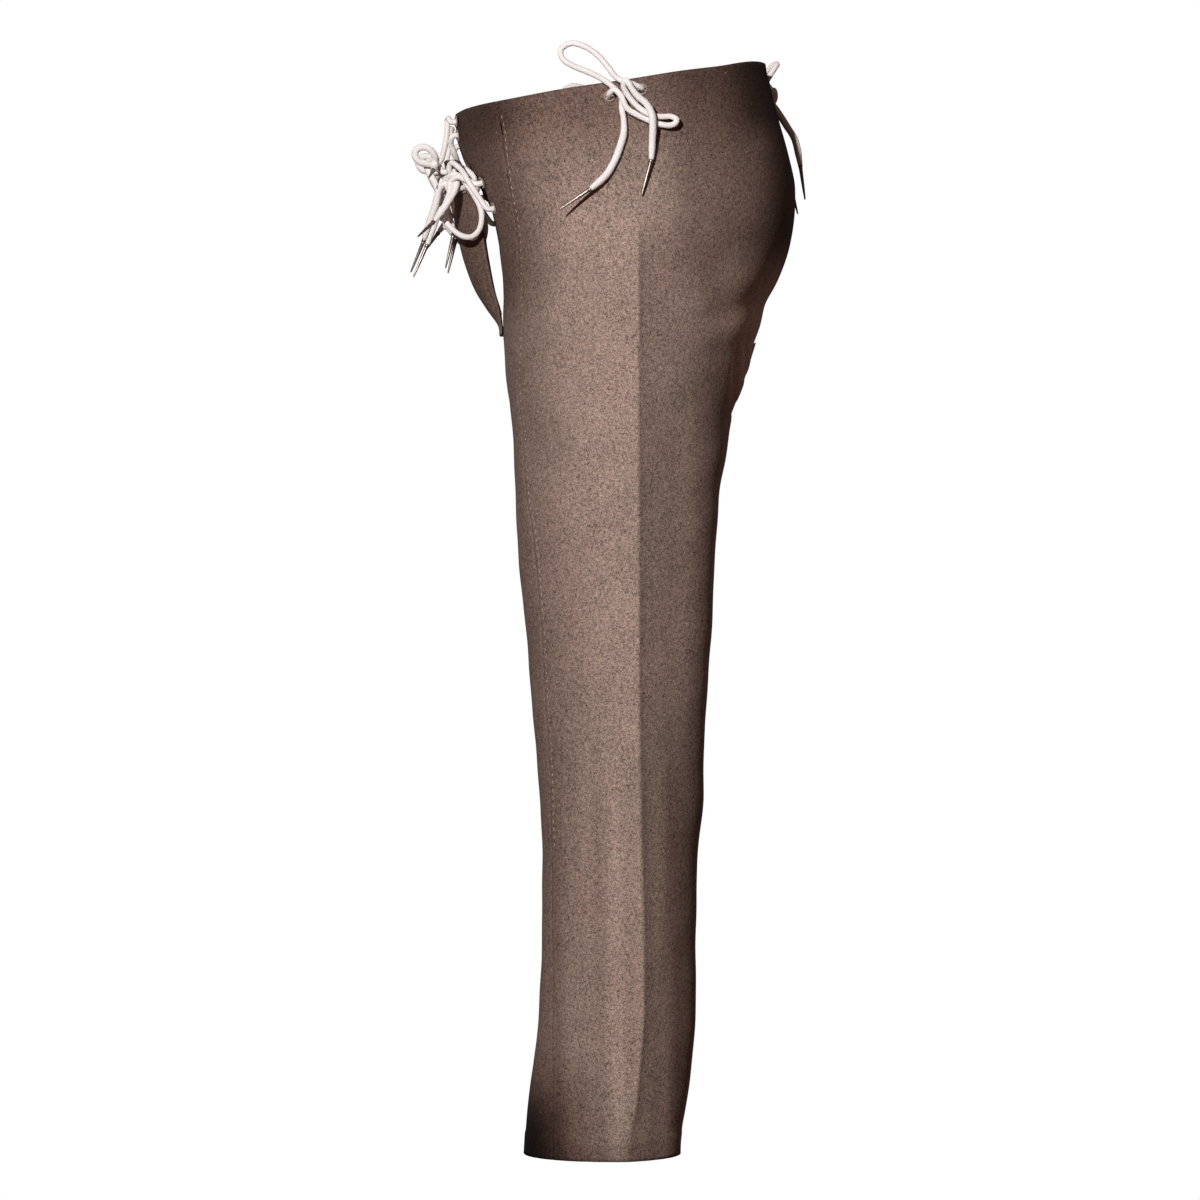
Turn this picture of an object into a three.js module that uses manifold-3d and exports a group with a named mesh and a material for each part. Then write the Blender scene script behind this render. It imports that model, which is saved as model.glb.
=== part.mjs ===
import * as THREE from 'three'
import { mergeVertices } from 'three/addons/utils/BufferGeometryUtils.js'
import Module from 'manifold-3d'

// Laced wool hose with a codpiece flap, as worn.
// Millimetres. +Z up, the front faces -Y, the wearer's left is +X.
// Heights are worked out from the hem, then everything is lowered so that
// the origin is the middle of the waist, where the wearer holds the part.

const wasm = await Module()
wasm.setup()

const WAIST_HEIGHT = 1030
const WOOL = 2.5            // fulled wool, thickness
const LINEN = 1.2           // facing and lining, thickness
const GAP = 0.3             // between layers and along seams
const CORD = 5.6            // lace diameter
const AGLET = 35            // aglet length
const AGLET_MOUTH = 2.35    // radius of its open end
const OPENING = 1           // scale of the front opening's width
const HEM_WIDTH = 1         // scale of the leg's depth at the hem
const CREASE = 8            // how far the side crease stands out
const HOLLOW = 22           // depth of the hollow of the back
const HOLLOW_WIDE = 46      // its half width
const HOLLOW_FROM = 940     // height at which it begins
const HOLLOW_FULL = 1015    // height from which it is full
const FORK = 755            // height at which the two legs part
const LEG_LENGTH = 755      // from the fork down to the hem
const HIP = 197             // half width that the tables are drawn for
const HIP_WIDTH = 197       // half width at the hips
const LEG_ROUND = 2.1       // exponent of the leg's oval
const PELVIS_ROUND = 2.2    // exponent of the pelvis's oval
const LEG_SWEEP = 0.69      // share of the leg's oval taken by the outer side
const THREAD = 0.55         // wall of a worked eyelet
const EYE_BORE = CORD / 2 + 0.95
const EYE_SHANK = EYE_BORE + THREAD
const EYE_HOLE = EYE_SHANK + 0.15
const EYE_RIM = EYE_BORE + 1.95
const STRAIGHT_ENOUGH = 0.85  // a lace's points closer to a chord than this are dropped

const group = new THREE.Group()

// ---------- small helpers ----------

function along(table, z) {
  // smooth curve through the [height, value] pairs of a table, lowest first
  const n = table.length
  if (z <= table[0][0]) return table[0][1]
  if (z >= table[n - 1][0]) return table[n - 1][1]
  let i = 0
  while (z > table[i + 1][0]) i++
  const [z0, a] = table[i]
  const [z1, b] = table[i + 1]
  const slope = k => {
    if (k <= 0 || k >= n - 1) return 0
    return (table[k + 1][1] - table[k - 1][1]) / (table[k + 1][0] - table[k - 1][0])
  }
  const h = z1 - z0
  const u = (z - z0) / h
  return (2 * u ** 3 - 3 * u ** 2 + 1) * a + (u ** 3 - 2 * u ** 2 + u) * h * slope(i)
    + (3 * u ** 2 - 2 * u ** 3) * b + (u ** 3 - u ** 2) * h * slope(i + 1)
}
function smooth(a, b, v) {
  const u = Math.min(1, Math.max(0, (v - a) / (b - a)))
  return u * u * (3 - 2 * u)
}
const mix = (a, b, u) => a + (b - a) * u

// ---------- the worn shape ----------

const FRONT = [
  [0, -85], [60, -80], [105, -74], [150, -70], [235, -67], [330, -70], [430, -77], [535, -86],
  [632, -95], [700, -101], [760, -105], [802, -107.5], [830, -109], [857, -113], [877, -117],
  [896, -121], [916, -126], [930, -130.5], [944, -136.5], [957, -143.5], [969, -150], [985, -155],
  [1012, -157], [1062, -156]]
const BACK = [
  [0, 66], [45, 72], [100, 79], [147, 81], [278, 82], [342, 89], [424, 91], [554, 99], [632, 105],
  [671, 113], [708, 119], [741, 128], [783, 141], [820, 152], [852, 165], [885, 176], [917, 181],
  [949, 181], [974, 179], [1003, 173], [1029, 166.5], [1062, 160]]
const OUTER = [
  [0, 179], [120, 178], [250, 180], [450, 183], [600, 188], [690, 192], [770, 195], [860, 197],
  [930, 192], [990, 185], [1030, 180], [1060, 178]]
const INNER = [[0, 31], [150, 27], [300, 21], [450, 14], [600, 8], [690, 3], [755, 0.15]]
const CREASE_Y = [[0, 15], [60, 22], [150, 29], [400, 25], [880, 24]]
const SEAM_Y = [
  [0, -57], [245, -58], [400, -62], [455, -65], [535, -70], [598, -76.5], [637, -83.4],
  [700, -88], [739, -92], [817, -90], [885, -91.5], [928, -99], [977, -106], [1014, -111]]
const WAIST = [
  [-160, 1011], [-142, 1013], [-97, 1016.5], [-50, 1022.5], [15, 1031], [64, 1039.5], [100, 1046],
  [153, 1058]]

function halfDepth(z) {
  const f = along(FRONT, z)
  const b = along(BACK, z)
  const k = mix(HEM_WIDTH, 1, smooth(0, 500, z))
  const m = (f + b) / 2
  return [m + (f - m) * k, m + (b - m) * k]
}
// t runs 0..1 from the front middle round the outer side to the back middle,
// and 1..2 back along the inner side
function ring(z, t) {
  const [f, b] = halfDepth(z)
  const xo = along(OUTER, z) * HIP_WIDTH / HIP
  const xi = along(INNER, z)
  const w = 1 - smooth(600, 765, z)
  const inner = t > 1
  const u = inner ? 2 - t : t
  const cx = (xi + xo) / 2
  const cy = mix(24, (f + b) / 2, w)
  const ax = (xo - xi) / 2
  const p = 2 / PELVIS_ROUND
  // the half-pelvis shape, flat on the inside
  let dx
  let dy
  if (!inner) {
    const a = (u - 0.5) * Math.PI
    const c = Math.cos(a)
    const s = Math.sin(a)
    dx = xi + (xo - xi) * Math.max(0, c) ** p
    dy = cy + (s > 0 ? b - cy : cy - f) * Math.sign(s) * Math.abs(s) ** p
  } else {
    dx = xi
    dy = mix(f, b, u)
  }
  if (w <= 0) return [dx, dy]
  // the leg's oval
  const reach = Math.PI * LEG_SWEEP
  const a = inner ? mix(2 * Math.PI - reach, reach, u) : mix(-reach, reach, u)
  const c = Math.cos(a)
  const s = Math.sin(a)
  const q = 2 / LEG_ROUND
  const ox = cx + ax * Math.sign(c) * Math.abs(c) ** q
  const oy = cy + (s > 0 ? b - cy : cy - f) * Math.sign(s) * Math.abs(s) ** q
  return [mix(dx, ox, w), mix(dy, oy, w)]
}
function tAtY(z, y) {
  // outer side only
  const joined = smooth(600, 765, z)
  let lo = 0.5 - 0.5 / (2 * LEG_SWEEP) * (1 - joined) - 0.5 * joined
  let hi = 1 - lo
  for (let i = 0; i < 40; i++) {
    const m = (lo + hi) / 2
    if (ring(z, m)[1] < y) lo = m
    else hi = m
  }
  return (lo + hi) / 2
}
function waistAt(t) {
  let z = 1035
  for (let i = 0; i < 6; i++) z = along(WAIST, ring(z, t)[1])
  return z
}
function crotchAt(t) {
  // the low edge where the two legs part
  if (t <= 1) return mix(802, 790, t)
  const u = Math.min(1, t - 1)
  return mix(790, 802, u) - 30 * Math.max(0, Math.sin(Math.PI * u)) ** 0.8
}
const heightAt = (s, t) => s <= 1 ? s * crotchAt(t) : mix(crotchAt(t), waistAt(t), s - 1)

function surface(z, t) {
  // a point of the outside of the cloth: [x, y, z]
  const k = ((t % 2) + 2) % 2
  let [x, y] = ring(z, k)
  if (k > 0 && k <= 1) {
    const d = Math.abs(y - along(CREASE_Y, z))
    const h = CREASE * (1 - smooth(850, 940, z)) * mix(0.5, 1, smooth(0, 60, z))
    x += h * Math.exp(-d / 26) * smooth(0, 0.2, Math.min(k, 1 - k))
    // slack folds below the seat
    const fold = (zc, depth, wide) =>
      depth * Math.exp(-(((z - zc - (y - 110) * 0.35) / wide) ** 2)) * smooth(40, 125, y)
    const folds = fold(812, 4, 12) + fold(775, 3, 11)
    x -= folds * (1 - smooth(0.7, 0.93, k))
    y -= folds * smooth(0.7, 0.9, k) * 0.6
    if (k > 0.5) y -= HOLLOW * Math.exp(-((x / HOLLOW_WIDE) ** 2)) * smooth(HOLLOW_FROM, HOLLOW_FULL, z)
  }
  return new THREE.Vector3(x, y, z < FORK ? FORK - (FORK - z) * LEG_LENGTH / FORK : z)
}
function normal(z, t, open) {
  // outward; open: the cloth ends at t = 0 and t = 1 here
  if (open && t >= 2) t -= 2
  const e = 0.012
  const h = 3
  const a = open ? Math.max(t - e, 0) : t - e
  const b = open ? Math.min(t + e, 1) : t + e
  const du = surface(z, b).sub(surface(z, a))
  const dv = surface(Math.min(z + h, 1066), t).sub(surface(Math.max(z - h, 0), t))
  dv.set(0, dv.y * 0.35, dv.z)
  const n = du.cross(dv).normalize()
  n.z *= 0.5
  return n.normalize()
}

// ---------- cloth ----------

// a sheet of points [row][column] with a normal each becomes one closed solid
function cloth(rows, present, thick, inset = 0) {
  const R = rows.length
  const C = rows[0].length
  const verts = []
  const tris = []
  const id = new Map()
  const vert = (side, i, j) => {
    const key = side * 1e6 + i * 1000 + j
    if (!id.has(key)) {
      const { p, n } = rows[i][j]
      const q = p.clone().addScaledVector(n, -(inset + (side ? thick : 0)))
      id.set(key, verts.length / 3)
      verts.push(q.x, q.y, q.z)
    }
    return id.get(key)
  }
  const has = (i, j) => i >= 0 && j >= 0 && i < R - 1 && j < C - 1 && present(i, j)
  const quad = (a, b, c, d) => tris.push(a, b, c, a, c, d)
  // the four corners of a cell, on the outside (0) and on the inside (1)
  const corner = (side, i, j) =>
    [vert(side, i, j), vert(side, i, j + 1), vert(side, i + 1, j + 1), vert(side, i + 1, j)]
  for (let i = 0; i < R - 1; i++) {
    for (let j = 0; j < C - 1; j++) {
      if (!has(i, j)) continue
      const [a, b, c, d] = corner(0, i, j)
      const [e, f, g, h] = corner(1, i, j)
      quad(a, b, c, d)
      quad(e, h, g, f)
      if (!has(i - 1, j)) quad(a, e, f, b)
      if (!has(i + 1, j)) quad(c, g, h, d)
      if (!has(i, j - 1)) quad(d, h, e, a)
      if (!has(i, j + 1)) quad(b, f, g, c)
    }
  }
  return { verts: new Float32Array(verts), tris: new Uint32Array(tris) }
}
function solid({ verts, tris }) {
  return new wasm.Manifold(new wasm.Mesh({ numProp: 3, vertProperties: verts, triVerts: tris }))
}
function solidOf(geometry) {
  // a closed three.js geometry as a manifold solid
  const bare = geometry.clone()
  bare.deleteAttribute('normal')
  bare.deleteAttribute('uv')
  const whole = mergeVertices(bare, 1e-4)
  return solid({ verts: whole.attributes.position.array, tris: Uint32Array.from(whole.index.array) })
}
const mirrored = m => m.mirror([1, 0, 0])
const WOOL_FINISH = { color: 0x8b7b70, roughness: 0.95, metalness: 0 }
const LINEN_FINISH = { color: 0xcbbba8, roughness: 0.9, metalness: 0 }
const LACE_FINISH = { color: 0xf2ece4, roughness: 0.85, metalness: 0 }
const METAL_FINISH = { color: 0xa8a39c, roughness: 0.35, metalness: 1 }
function put(name, m, finish) {
  const raw = m.getMesh()
  const geo = new THREE.BufferGeometry()
  const pos = new Float32Array(raw.numVert * 3)
  for (let i = 0; i < raw.numVert; i++) {
    for (let k = 0; k < 3; k++) pos[i * 3 + k] = raw.vertProperties[i * raw.numProp + k]
  }
  geo.setAttribute('position', new THREE.BufferAttribute(pos, 3))
  geo.setIndex(Array.from(raw.triVerts))
  geo.translate(0, 0, -WAIST_HEIGHT)
  geo.computeVertexNormals()
  const mesh = new THREE.Mesh(geo, new THREE.MeshStandardMaterial({ ...finish, flatShading: true }))
  mesh.name = name
  group.add(mesh)
}
class Route extends THREE.Curve {
  // a curve that stops at each of its points in turn
  constructor(points) {
    super()
    this.points = points
  }
  getPoint(u, target = new THREE.Vector3()) {
    const k = u * (this.points.length - 1)
    const i = Math.min(this.points.length - 2, Math.floor(k))
    return target.lerpVectors(this.points[i], this.points[i + 1], k - i)
  }
  getPointAt(u, target) {
    return this.getPoint(u, target)
  }
  getTangentAt(u, target = new THREE.Vector3()) {
    const last = this.points.length - 1
    const i = Math.round(u * last)
    const next = this.points[Math.min(last, i + 1)]
    return target.subVectors(next, this.points[Math.max(0, i - 1)]).normalize()
  }
}
function pipe(points, r, sides = 8) {
  const section = new THREE.Shape()
  for (let k = 0; k < sides; k++) {
    const a = 2 * Math.PI * k / sides
    if (k) section.lineTo(r * Math.cos(a), r * Math.sin(a))
    else section.moveTo(r, 0)
  }
  const options = { steps: points.length - 1, extrudePath: new Route(points), curveSegments: 1 }
  return solidOf(new THREE.ExtrudeGeometry(section, options))
}
function turned(profile, at, dir, sides = 10) {
  // a profile of [radius, height along dir] turned about dir
  const lathe = new THREE.LatheGeometry(profile.map(([r, h]) => new THREE.Vector2(r, h)), sides)
  lathe.applyQuaternion(new THREE.Quaternion().setFromUnitVectors(new THREE.Vector3(0, 1, 0), dir))
  lathe.translate(at.x, at.y, at.z)
  return solidOf(lathe)
}

// ---------- where the eyelets are ----------

function onPelvis(x, z) {
  // the point of the outside of the cloth in front of x, at a height
  let lo = 0
  let hi = 0.5
  for (let i = 0; i < 40; i++) {
    const m = (lo + hi) / 2
    if (ring(z, m)[0] < x) lo = m
    else hi = m
  }
  return [z, (lo + hi) / 2]
}
function onBack(x, z) {
  let lo = 0.5
  let hi = 1
  for (let i = 0; i < 40; i++) {
    const m = (lo + hi) / 2
    if (ring(z, m)[0] > x) lo = m
    else hi = m
  }
  return [z, (lo + hi) / 2]
}
const FLAP_MID = [
  [797, -111.5], [806, -113], [822, -124], [842, -136], [868, -145.5], [894, -152], [932, -160],
  [968, -166], [985, -168]]
const FLAP_SIDE = [
  [797, -110.5], [820, -112], [845, -118.5], [888, -126.5], [922, -131], [945, -140], [965, -151],
  [985, -155]]
const FLAP_WIDE = [[797, 22], [820, 38], [845, 50], [888, 61], [926, 64], [965, 60], [985, 57]]
function flapPoint(z, u) {
  // u from -1 to 1 across the flap
  const x = along(FLAP_WIDE, z) * u
  const y = mix(along(FLAP_MID, z), along(FLAP_SIDE, z), Math.abs(u) ** 2.2)
  return new THREE.Vector3(x, y, z)
}
function flapNormal(z, u) {
  const a = flapPoint(z, Math.min(1, u + 0.03)).sub(flapPoint(z, Math.max(-1, u - 0.03)))
  const b = flapPoint(Math.min(z + 2, 985), u).sub(flapPoint(Math.max(z - 2, 797), u))
  return a.cross(b).normalize()
}

const LINED = WOOL + GAP + LINEN
const spots = []
function spotOnHose(name, zt, stack) {
  const [z, t] = zt
  const across = surface(z, t + 0.01).sub(surface(z, t - 0.01))
  const up = surface(z + 5, t).sub(surface(z - 5, t))
  const lift = name === 'edge_upper' || name === 'back' ? 0.5 : 0
  spots.push({ name, p: surface(z, t), n: across.cross(up).normalize(), stack, flap: false, lift })
  return spots[spots.length - 1]
}
function spotOnFlap(name, x, z) {
  const u = x / along(FLAP_WIDE, z)
  spots.push({ name, p: flapPoint(z, u), n: flapNormal(z, u), stack: LINED, flap: true, lift: 0 })
  return spots[spots.length - 1]
}
const sideFront = spotOnHose('side_front', [1014.5, tAtY(1014.5, -2.5)], LINED)
const sideBack = spotOnHose('side_back', [1021, tAtY(1021, 28)], LINED)
const backEye = spotOnHose('back', onBack(13, 1041), LINED)
const waistUpper = spotOnHose('waist_upper', onPelvis(51, 1003.5), LINED)
const waistLower = spotOnHose('waist_lower', onPelvis(54, 989.5), LINED)
const edgeUpper = spotOnHose('edge_upper', onPelvis(76, 942), WOOL)
const edgeLower = spotOnHose('edge_lower', onPelvis(85, 916), WOOL)
const flapTop = spotOnFlap('flap_top', 32, 957)
const flapCorner = spotOnFlap('flap_corner', 48, 956)
const flapLow = spotOnFlap('flap_low', 53, 939)

// ---------- panels ----------

const rowsLow = [0, 0.05, 0.11, 0.18, 0.27, 0.37, 0.47, 0.57, 0.66, 0.74, 0.81, 0.87, 0.92, 0.965, 1]
const rowsHigh = [1.06, 1.13, 1.21, 1.3, 1.39, 1.48, 1.55, 1.61, 1.66, 1.71, 1.77, 1.85, 1.94, 2]
const S = rowsLow.concat(rowsHigh)
function seamT(s) {
  const z = heightAt(s, 0.2)
  return tAtY(z, along(SEAM_Y, z))
}
function creaseT(s) {
  const z = heightAt(s, 0.55)
  return tAtY(z, along(CREASE_Y, z))
}
const seamGap = 0.00035
function grid(columns) {
  return S.map(s => columns(s).map(t => {
    const z = heightAt(s, t > 2 ? t - 2 : t)
    return { p: surface(z, t), n: normal(z, t, s > 1.0001) }
  }))
}
const CROWDING = 1.35       // how much closer the columns stand towards the back
const spread = (a, b, n) => Array.from({ length: n + 1 }, (_, i) => a + (b - a) * i / n)
const towardsBack = (a, b, n) => spread(0, 1, n).map(u => b - (b - a) * (1 - u) ** CROWDING)
const sideColumns = 7
const backColumns = 11
const outerGrid = grid(s => {
  const a = seamT(s) + seamGap
  const c = creaseT(s)
  return spread(a, c, sideColumns).concat(towardsBack(c, 1 - seamGap, backColumns).slice(1))
})
const innerColumns = 10
const stripColumns = 8
const innerGrid = grid(s => {
  const strip = spread(2, 2 + seamT(s) - seamGap, stripColumns)
  return spread(1 + seamGap, 2, innerColumns).concat(strip.slice(1))
})
const topLow = rowsLow.length - 1

let outerPanel = solid(cloth(outerGrid, () => true, WOOL))
let innerPanel = solid(cloth(innerGrid, (i, j) => j >= innerColumns || i < topLow, WOOL))

// the waist facing, inside the top edge
const facingRows = [1.85, 1.94, 1.9975].map(s => {
  const a = seamT(s)
  const c = creaseT(s)
  const side = spread(a, c, sideColumns).slice(1)
  const back = towardsBack(c, 1 - seamGap * 4, backColumns).slice(1)
  return spread(0, a, stripColumns).concat(side, back).map(t => {
    const z = heightAt(s, t)
    return { p: surface(z, t), n: normal(z, t, true) }
  })
})
let facing = solid(cloth(facingRows, () => true, LINEN, WOOL + GAP))

// the front opening
function openingTool() {
  const half = [
    [806, 14], [828, 45], [850, 65], [880, 76], [915, 75], [935, 69], [950, 62],
    [963, 53], [985, 45], [1015, 42], [1080, 42]]
  const shape = new THREE.Shape()
  shape.moveTo(half[0][1] * OPENING, half[0][0])
  for (const [z, x] of half.slice(1)) shape.lineTo(x * OPENING, z)
  for (const [z, x] of half.slice().reverse()) shape.lineTo(-x * OPENING, z)
  const tool = new THREE.ExtrudeGeometry(shape, { depth: 260, bevelEnabled: false })
  tool.rotateX(Math.PI / 2)
  tool.translate(0, -40, 0)
  return solidOf(tool)
}
const opening = openingTool()
innerPanel = innerPanel.subtract(opening)
facing = facing.subtract(opening)

function hole(spot) {
  return turned([[0, -9], [EYE_HOLE, -9], [EYE_HOLE, 5], [0, 5]], spot.p, spot.n, 20)
}
for (const s of spots.filter(s => !s.flap)) {
  outerPanel = outerPanel.subtract(hole(s))
  innerPanel = innerPanel.subtract(hole(s))
  facing = facing.subtract(hole(s))
}

// the codpiece flap and its lining
const flapZ = [797, 806, 818, 834, 852, 872, 896, 916, 930, 942, 955, 968]
const flapU = [-1, -0.965, -0.85, -0.7, -0.53, -0.36, -0.18, 0, 0.18, 0.36, 0.53, 0.7, 0.85, 0.965, 1]
function flapAt(z, u) {
  // the top edge drops a little towards its corners
  const dropped = z > 965 ? z - 5 * Math.abs(u) ** 4 : z
  return { p: flapPoint(dropped, u), n: flapNormal(dropped, u) }
}
const flapRows = flapZ.map(z => flapU.map(u => flapAt(z, u)))
let flap = solid(cloth(flapRows, () => true, WOOL))
const liningZ = [...flapZ.slice(2, -1), 967.4]
const liningRows = liningZ.map(z => flapU.slice(1, -1).map(u => flapAt(z, u)))
let lining = solid(cloth(liningRows, () => true, LINEN, WOOL + GAP))
for (const s of spots.filter(s => s.flap)) {
  for (const sign of [1, -1]) {
    const m = sign > 0 ? hole(s) : mirrored(hole(s))
    flap = flap.subtract(m)
    lining = lining.subtract(m)
  }
}

put('left_outer_panel', outerPanel, WOOL_FINISH)
put('right_outer_panel', mirrored(outerPanel), WOOL_FINISH)
put('left_inner_panel', innerPanel, WOOL_FINISH)
put('right_inner_panel', mirrored(innerPanel), WOOL_FINISH)
put('left_waist_facing', facing, LINEN_FINISH)
put('right_waist_facing', mirrored(facing), LINEN_FINISH)
put('codpiece_flap', flap, WOOL_FINISH)
put('codpiece_lining', lining, LINEN_FINISH)

// ---------- eyelets ----------

for (const s of spots) {
  const under = -s.stack - 1.1
  const over = 0.45 + s.lift
  const section = [
    [EYE_BORE, under - 0.6], [EYE_RIM - 0.2, under - 0.6], [EYE_RIM - 0.2, under], [EYE_SHANK, under],
    [EYE_SHANK, over], [EYE_RIM, over], [EYE_RIM - 0.6, over + 0.95], [EYE_BORE, over + 0.45],
    [EYE_BORE, under - 0.6]]
  const m = turned(section, s.p, s.n)
  put('eyelet_' + s.name + '_left', m, WOOL_FINISH)
  put('eyelet_' + s.name + '_right', mirrored(m), WOOL_FINISH)
}

// ---------- laces ----------

// signed distance from the outside of the cloth, and the way out of it;
// nothing where there is no cloth
function off(p) {
  const z = p.z
  let t
  if (p.y < -80 && Math.abs(p.x) < 145) t = onPelvis(Math.abs(p.x), z)[1]
  else if (p.y > 120 && Math.abs(p.x) < 115) t = onBack(Math.abs(p.x), z)[1]
  else t = tAtY(z, p.y)
  if (z > waistAt(t) - 1) return null
  const s = surface(z, t)
  const n = normal(z, t, true)
  if (p.x < 0) {
    s.x = -s.x
    n.x = -n.x
  }
  return { d: p.clone().sub(s).dot(n), n }
}
function offFlap(p) {
  const w = along(FLAP_WIDE, p.z)
  if (p.z > 966 || p.z < 800 || Math.abs(p.x) > w + 1) return null
  const u = Math.max(-1, Math.min(1, p.x / w))
  const n = flapNormal(p.z, u)
  return { d: p.clone().sub(flapPoint(p.z, u)).dot(n), n }
}
const otherSide = s => ({ ...s, p: s.p.clone().setX(-s.p.x), n: s.n.clone().setX(-s.n.x) })
const eyes = spots.flatMap(s => [s, otherSide(s)])
const openHalf = z => z > 950 ? mix(62, 42, smooth(950, 1000, z)) : 78
function clearance(p, push) {
  const r = CORD / 2 + 0.6
  for (const eye of eyes) {
    // inside an eyelet the cord runs along its axis
    const v = p.clone().sub(eye.p)
    const h = v.dot(eye.n)
    v.addScaledVector(eye.n, -h)
    if (v.length() > 9 || Math.abs(h) > 9) continue
    if (v.length() > 3 && h > -1 && h < 5) push.addScaledVector(eye.n, (5 - h) * 0.6)
    else if (h < 2.4 && h > -eye.stack - 2.4 && v.length() < 7) push.addScaledVector(v, -0.6)
    return
  }
  const front = p.y < -80 && Math.abs(p.x) < openHalf(p.z)
  for (const hit of [front ? null : off(p), p.y < -80 ? offFlap(p) : null]) {
    if (!hit) continue
    const below = hit.d + LINED + 1 + r
    if (hit.d > -LINED / 2 && hit.d < r) push.addScaledVector(hit.n, (r - hit.d) * 0.6)
    if (hit.d <= -LINED / 2 && below > 0) push.addScaledVector(hit.n, -below * 0.6)
  }
}
// Points run from one aglet through the bow and the eyelets to the other.
// The cord is spaced evenly, then pushed apart wherever it meets itself,
// the cloth or another lace.
const CORD_STEP = 4.2       // spacing of the points of a lace
const ROUNDS = 160          // passes of pushing apart
const laid = []
function settle(points) {
  const curve = new THREE.CatmullRomCurve3(points, false, 'centripetal')
  curve.arcLengthDivisions = 1500
  const length = curve.getLength()
  const n = Math.round(length / CORD_STEP)
  const base = curve.getSpacedPoints(n)
  let shift = base.map(() => new THREE.Vector3())
  const apart = CORD + 0.4
  const near = Math.ceil(apart * 1.75 / (length / n))
  const others = laid.flat()
  for (let round = 0; round < ROUNDS; round++) {
    const now = base.map((p, i) => p.clone().add(shift[i]))
    const push = base.map(() => new THREE.Vector3())
    const d = new THREE.Vector3()
    for (let i = 0; i <= n; i++) {
      for (let j = i + near; j <= n; j++) {
        const l = d.subVectors(now[i], now[j]).length()
        if (l >= apart || l < 1e-6) continue
        d.multiplyScalar((apart - l) * 0.35 / l)
        push[i].add(d)
        push[j].sub(d)
      }
      for (const o of others) {
        const l = d.subVectors(now[i], o).length()
        if (l < apart + 0.5 && l > 1e-6) push[i].addScaledVector(d, (apart + 0.5 - l) * 0.5 / l)
      }
      if (round % 2 === 0) clearance(now[i], push[i])
    }
    const still = i => eyes.some(e => e.p.distanceTo(base[i]) < 6)
    shift = shift.map((o, i) => {
      const a = shift[Math.max(0, i - 1)]
      const b = shift[Math.min(n, i + 1)]
      const v = o.clone().multiplyScalar(0.7).addScaledVector(a, 0.15).addScaledVector(b, 0.15).add(push[i])
      return still(i) ? v.multiplyScalar(0.3) : v
    })
  }
  const line = base.map((p, i) => p.clone().add(shift[i]))
  laid.push(line)
  return line
}
function frame(spotA, spotB) {
  // a bow's own axes: t along the waist, u up, n out of the cloth
  const o = spotA.p.clone().add(spotB.p).multiplyScalar(0.5)
  const n = spotA.n.clone().add(spotB.n).normalize()
  const u = new THREE.Vector3(0, 0, 1)
  u.addScaledVector(n, -u.dot(n)).normalize()
  const t = spotB.p.clone().sub(spotA.p)
  t.addScaledVector(n, -t.dot(n)).addScaledVector(u, -t.dot(u)).normalize()
  const at = (a, b, c) => o.clone().addScaledVector(t, a).addScaledVector(u, b).addScaledVector(n, c)
  return { o, at }
}
function aglet(name, from, way, lean, mirror) {
  // lean: how far it hangs out of line with the end of its lace
  const section = [
    [0, 0], [AGLET_MOUTH, 0], [AGLET_MOUTH, 2.2], [AGLET_MOUTH - 0.4, 2.6],
    [1.5, AGLET * 0.5], [0.75, AGLET - 1], [0, AGLET]]
  const m = turned(section, from.clone().addScaledVector(way, 0.25 + 2.6 * lean), way, 8)
  put(name, mirror ? mirrored(m) : m, METAL_FINISH)
}
function thinned(line) {
  // drops the points that a straight run can do without
  const keep = new Set([0, line.length - 1])
  const split = (a, b) => {
    let worst = 0
    let at = -1
    const chord = new THREE.Line3(line[a], line[b])
    const q = new THREE.Vector3()
    for (let i = a + 1; i < b; i++) {
      const d = chord.closestPointToPoint(line[i], true, q).distanceTo(line[i])
      if (d > worst) {
        worst = d
        at = i
      }
    }
    if (worst <= STRAIGHT_ENOUGH) return
    keep.add(at)
    split(a, at)
    split(at, b)
  }
  split(0, line.length - 1)
  return line.filter((_, i) => keep.has(i))
}
function lace(name, points, ends = [null, null]) {
  const line = settle(points)
  const n = line.length - 1
  const m = pipe(thinned(line), CORD / 2)
  const way = [line[0].clone().sub(line[1]).normalize(), line[n].clone().sub(line[n - 1]).normalize()]
  const lean = [0, 0]
  ends.forEach((e, i) => {
    if (!e) return
    const to = e.clone().normalize()
    lean[i] = to.clone().cross(way[i]).length()
    way[i] = to
  })
  const names = name.includes('*') ? [name.replace('*', 'left'), name.replace('*', 'right')] : [name]
  names.forEach((full, k) => {
    put(full, k ? mirrored(m) : m, LACE_FINISH)
    const short = full.replace('lace_', 'aglet_')
    aglet(short + '_a', line[0], way[0], lean[0], k)
    aglet(short + '_b', line[n], way[1], lean[1], k)
  })
}
const V = (x, y, z) => new THREE.Vector3(x, y, z)
// a lace through an eyelet, from the outside in: three points on its axis
const into = (s, out = 4.5, back = 4.4) =>
  [out, -s.stack / 2, -s.stack - back].map(h => s.p.clone().addScaledVector(s.n, h))
const outOf = (s, out, back) => into(s, out, back).reverse()

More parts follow.
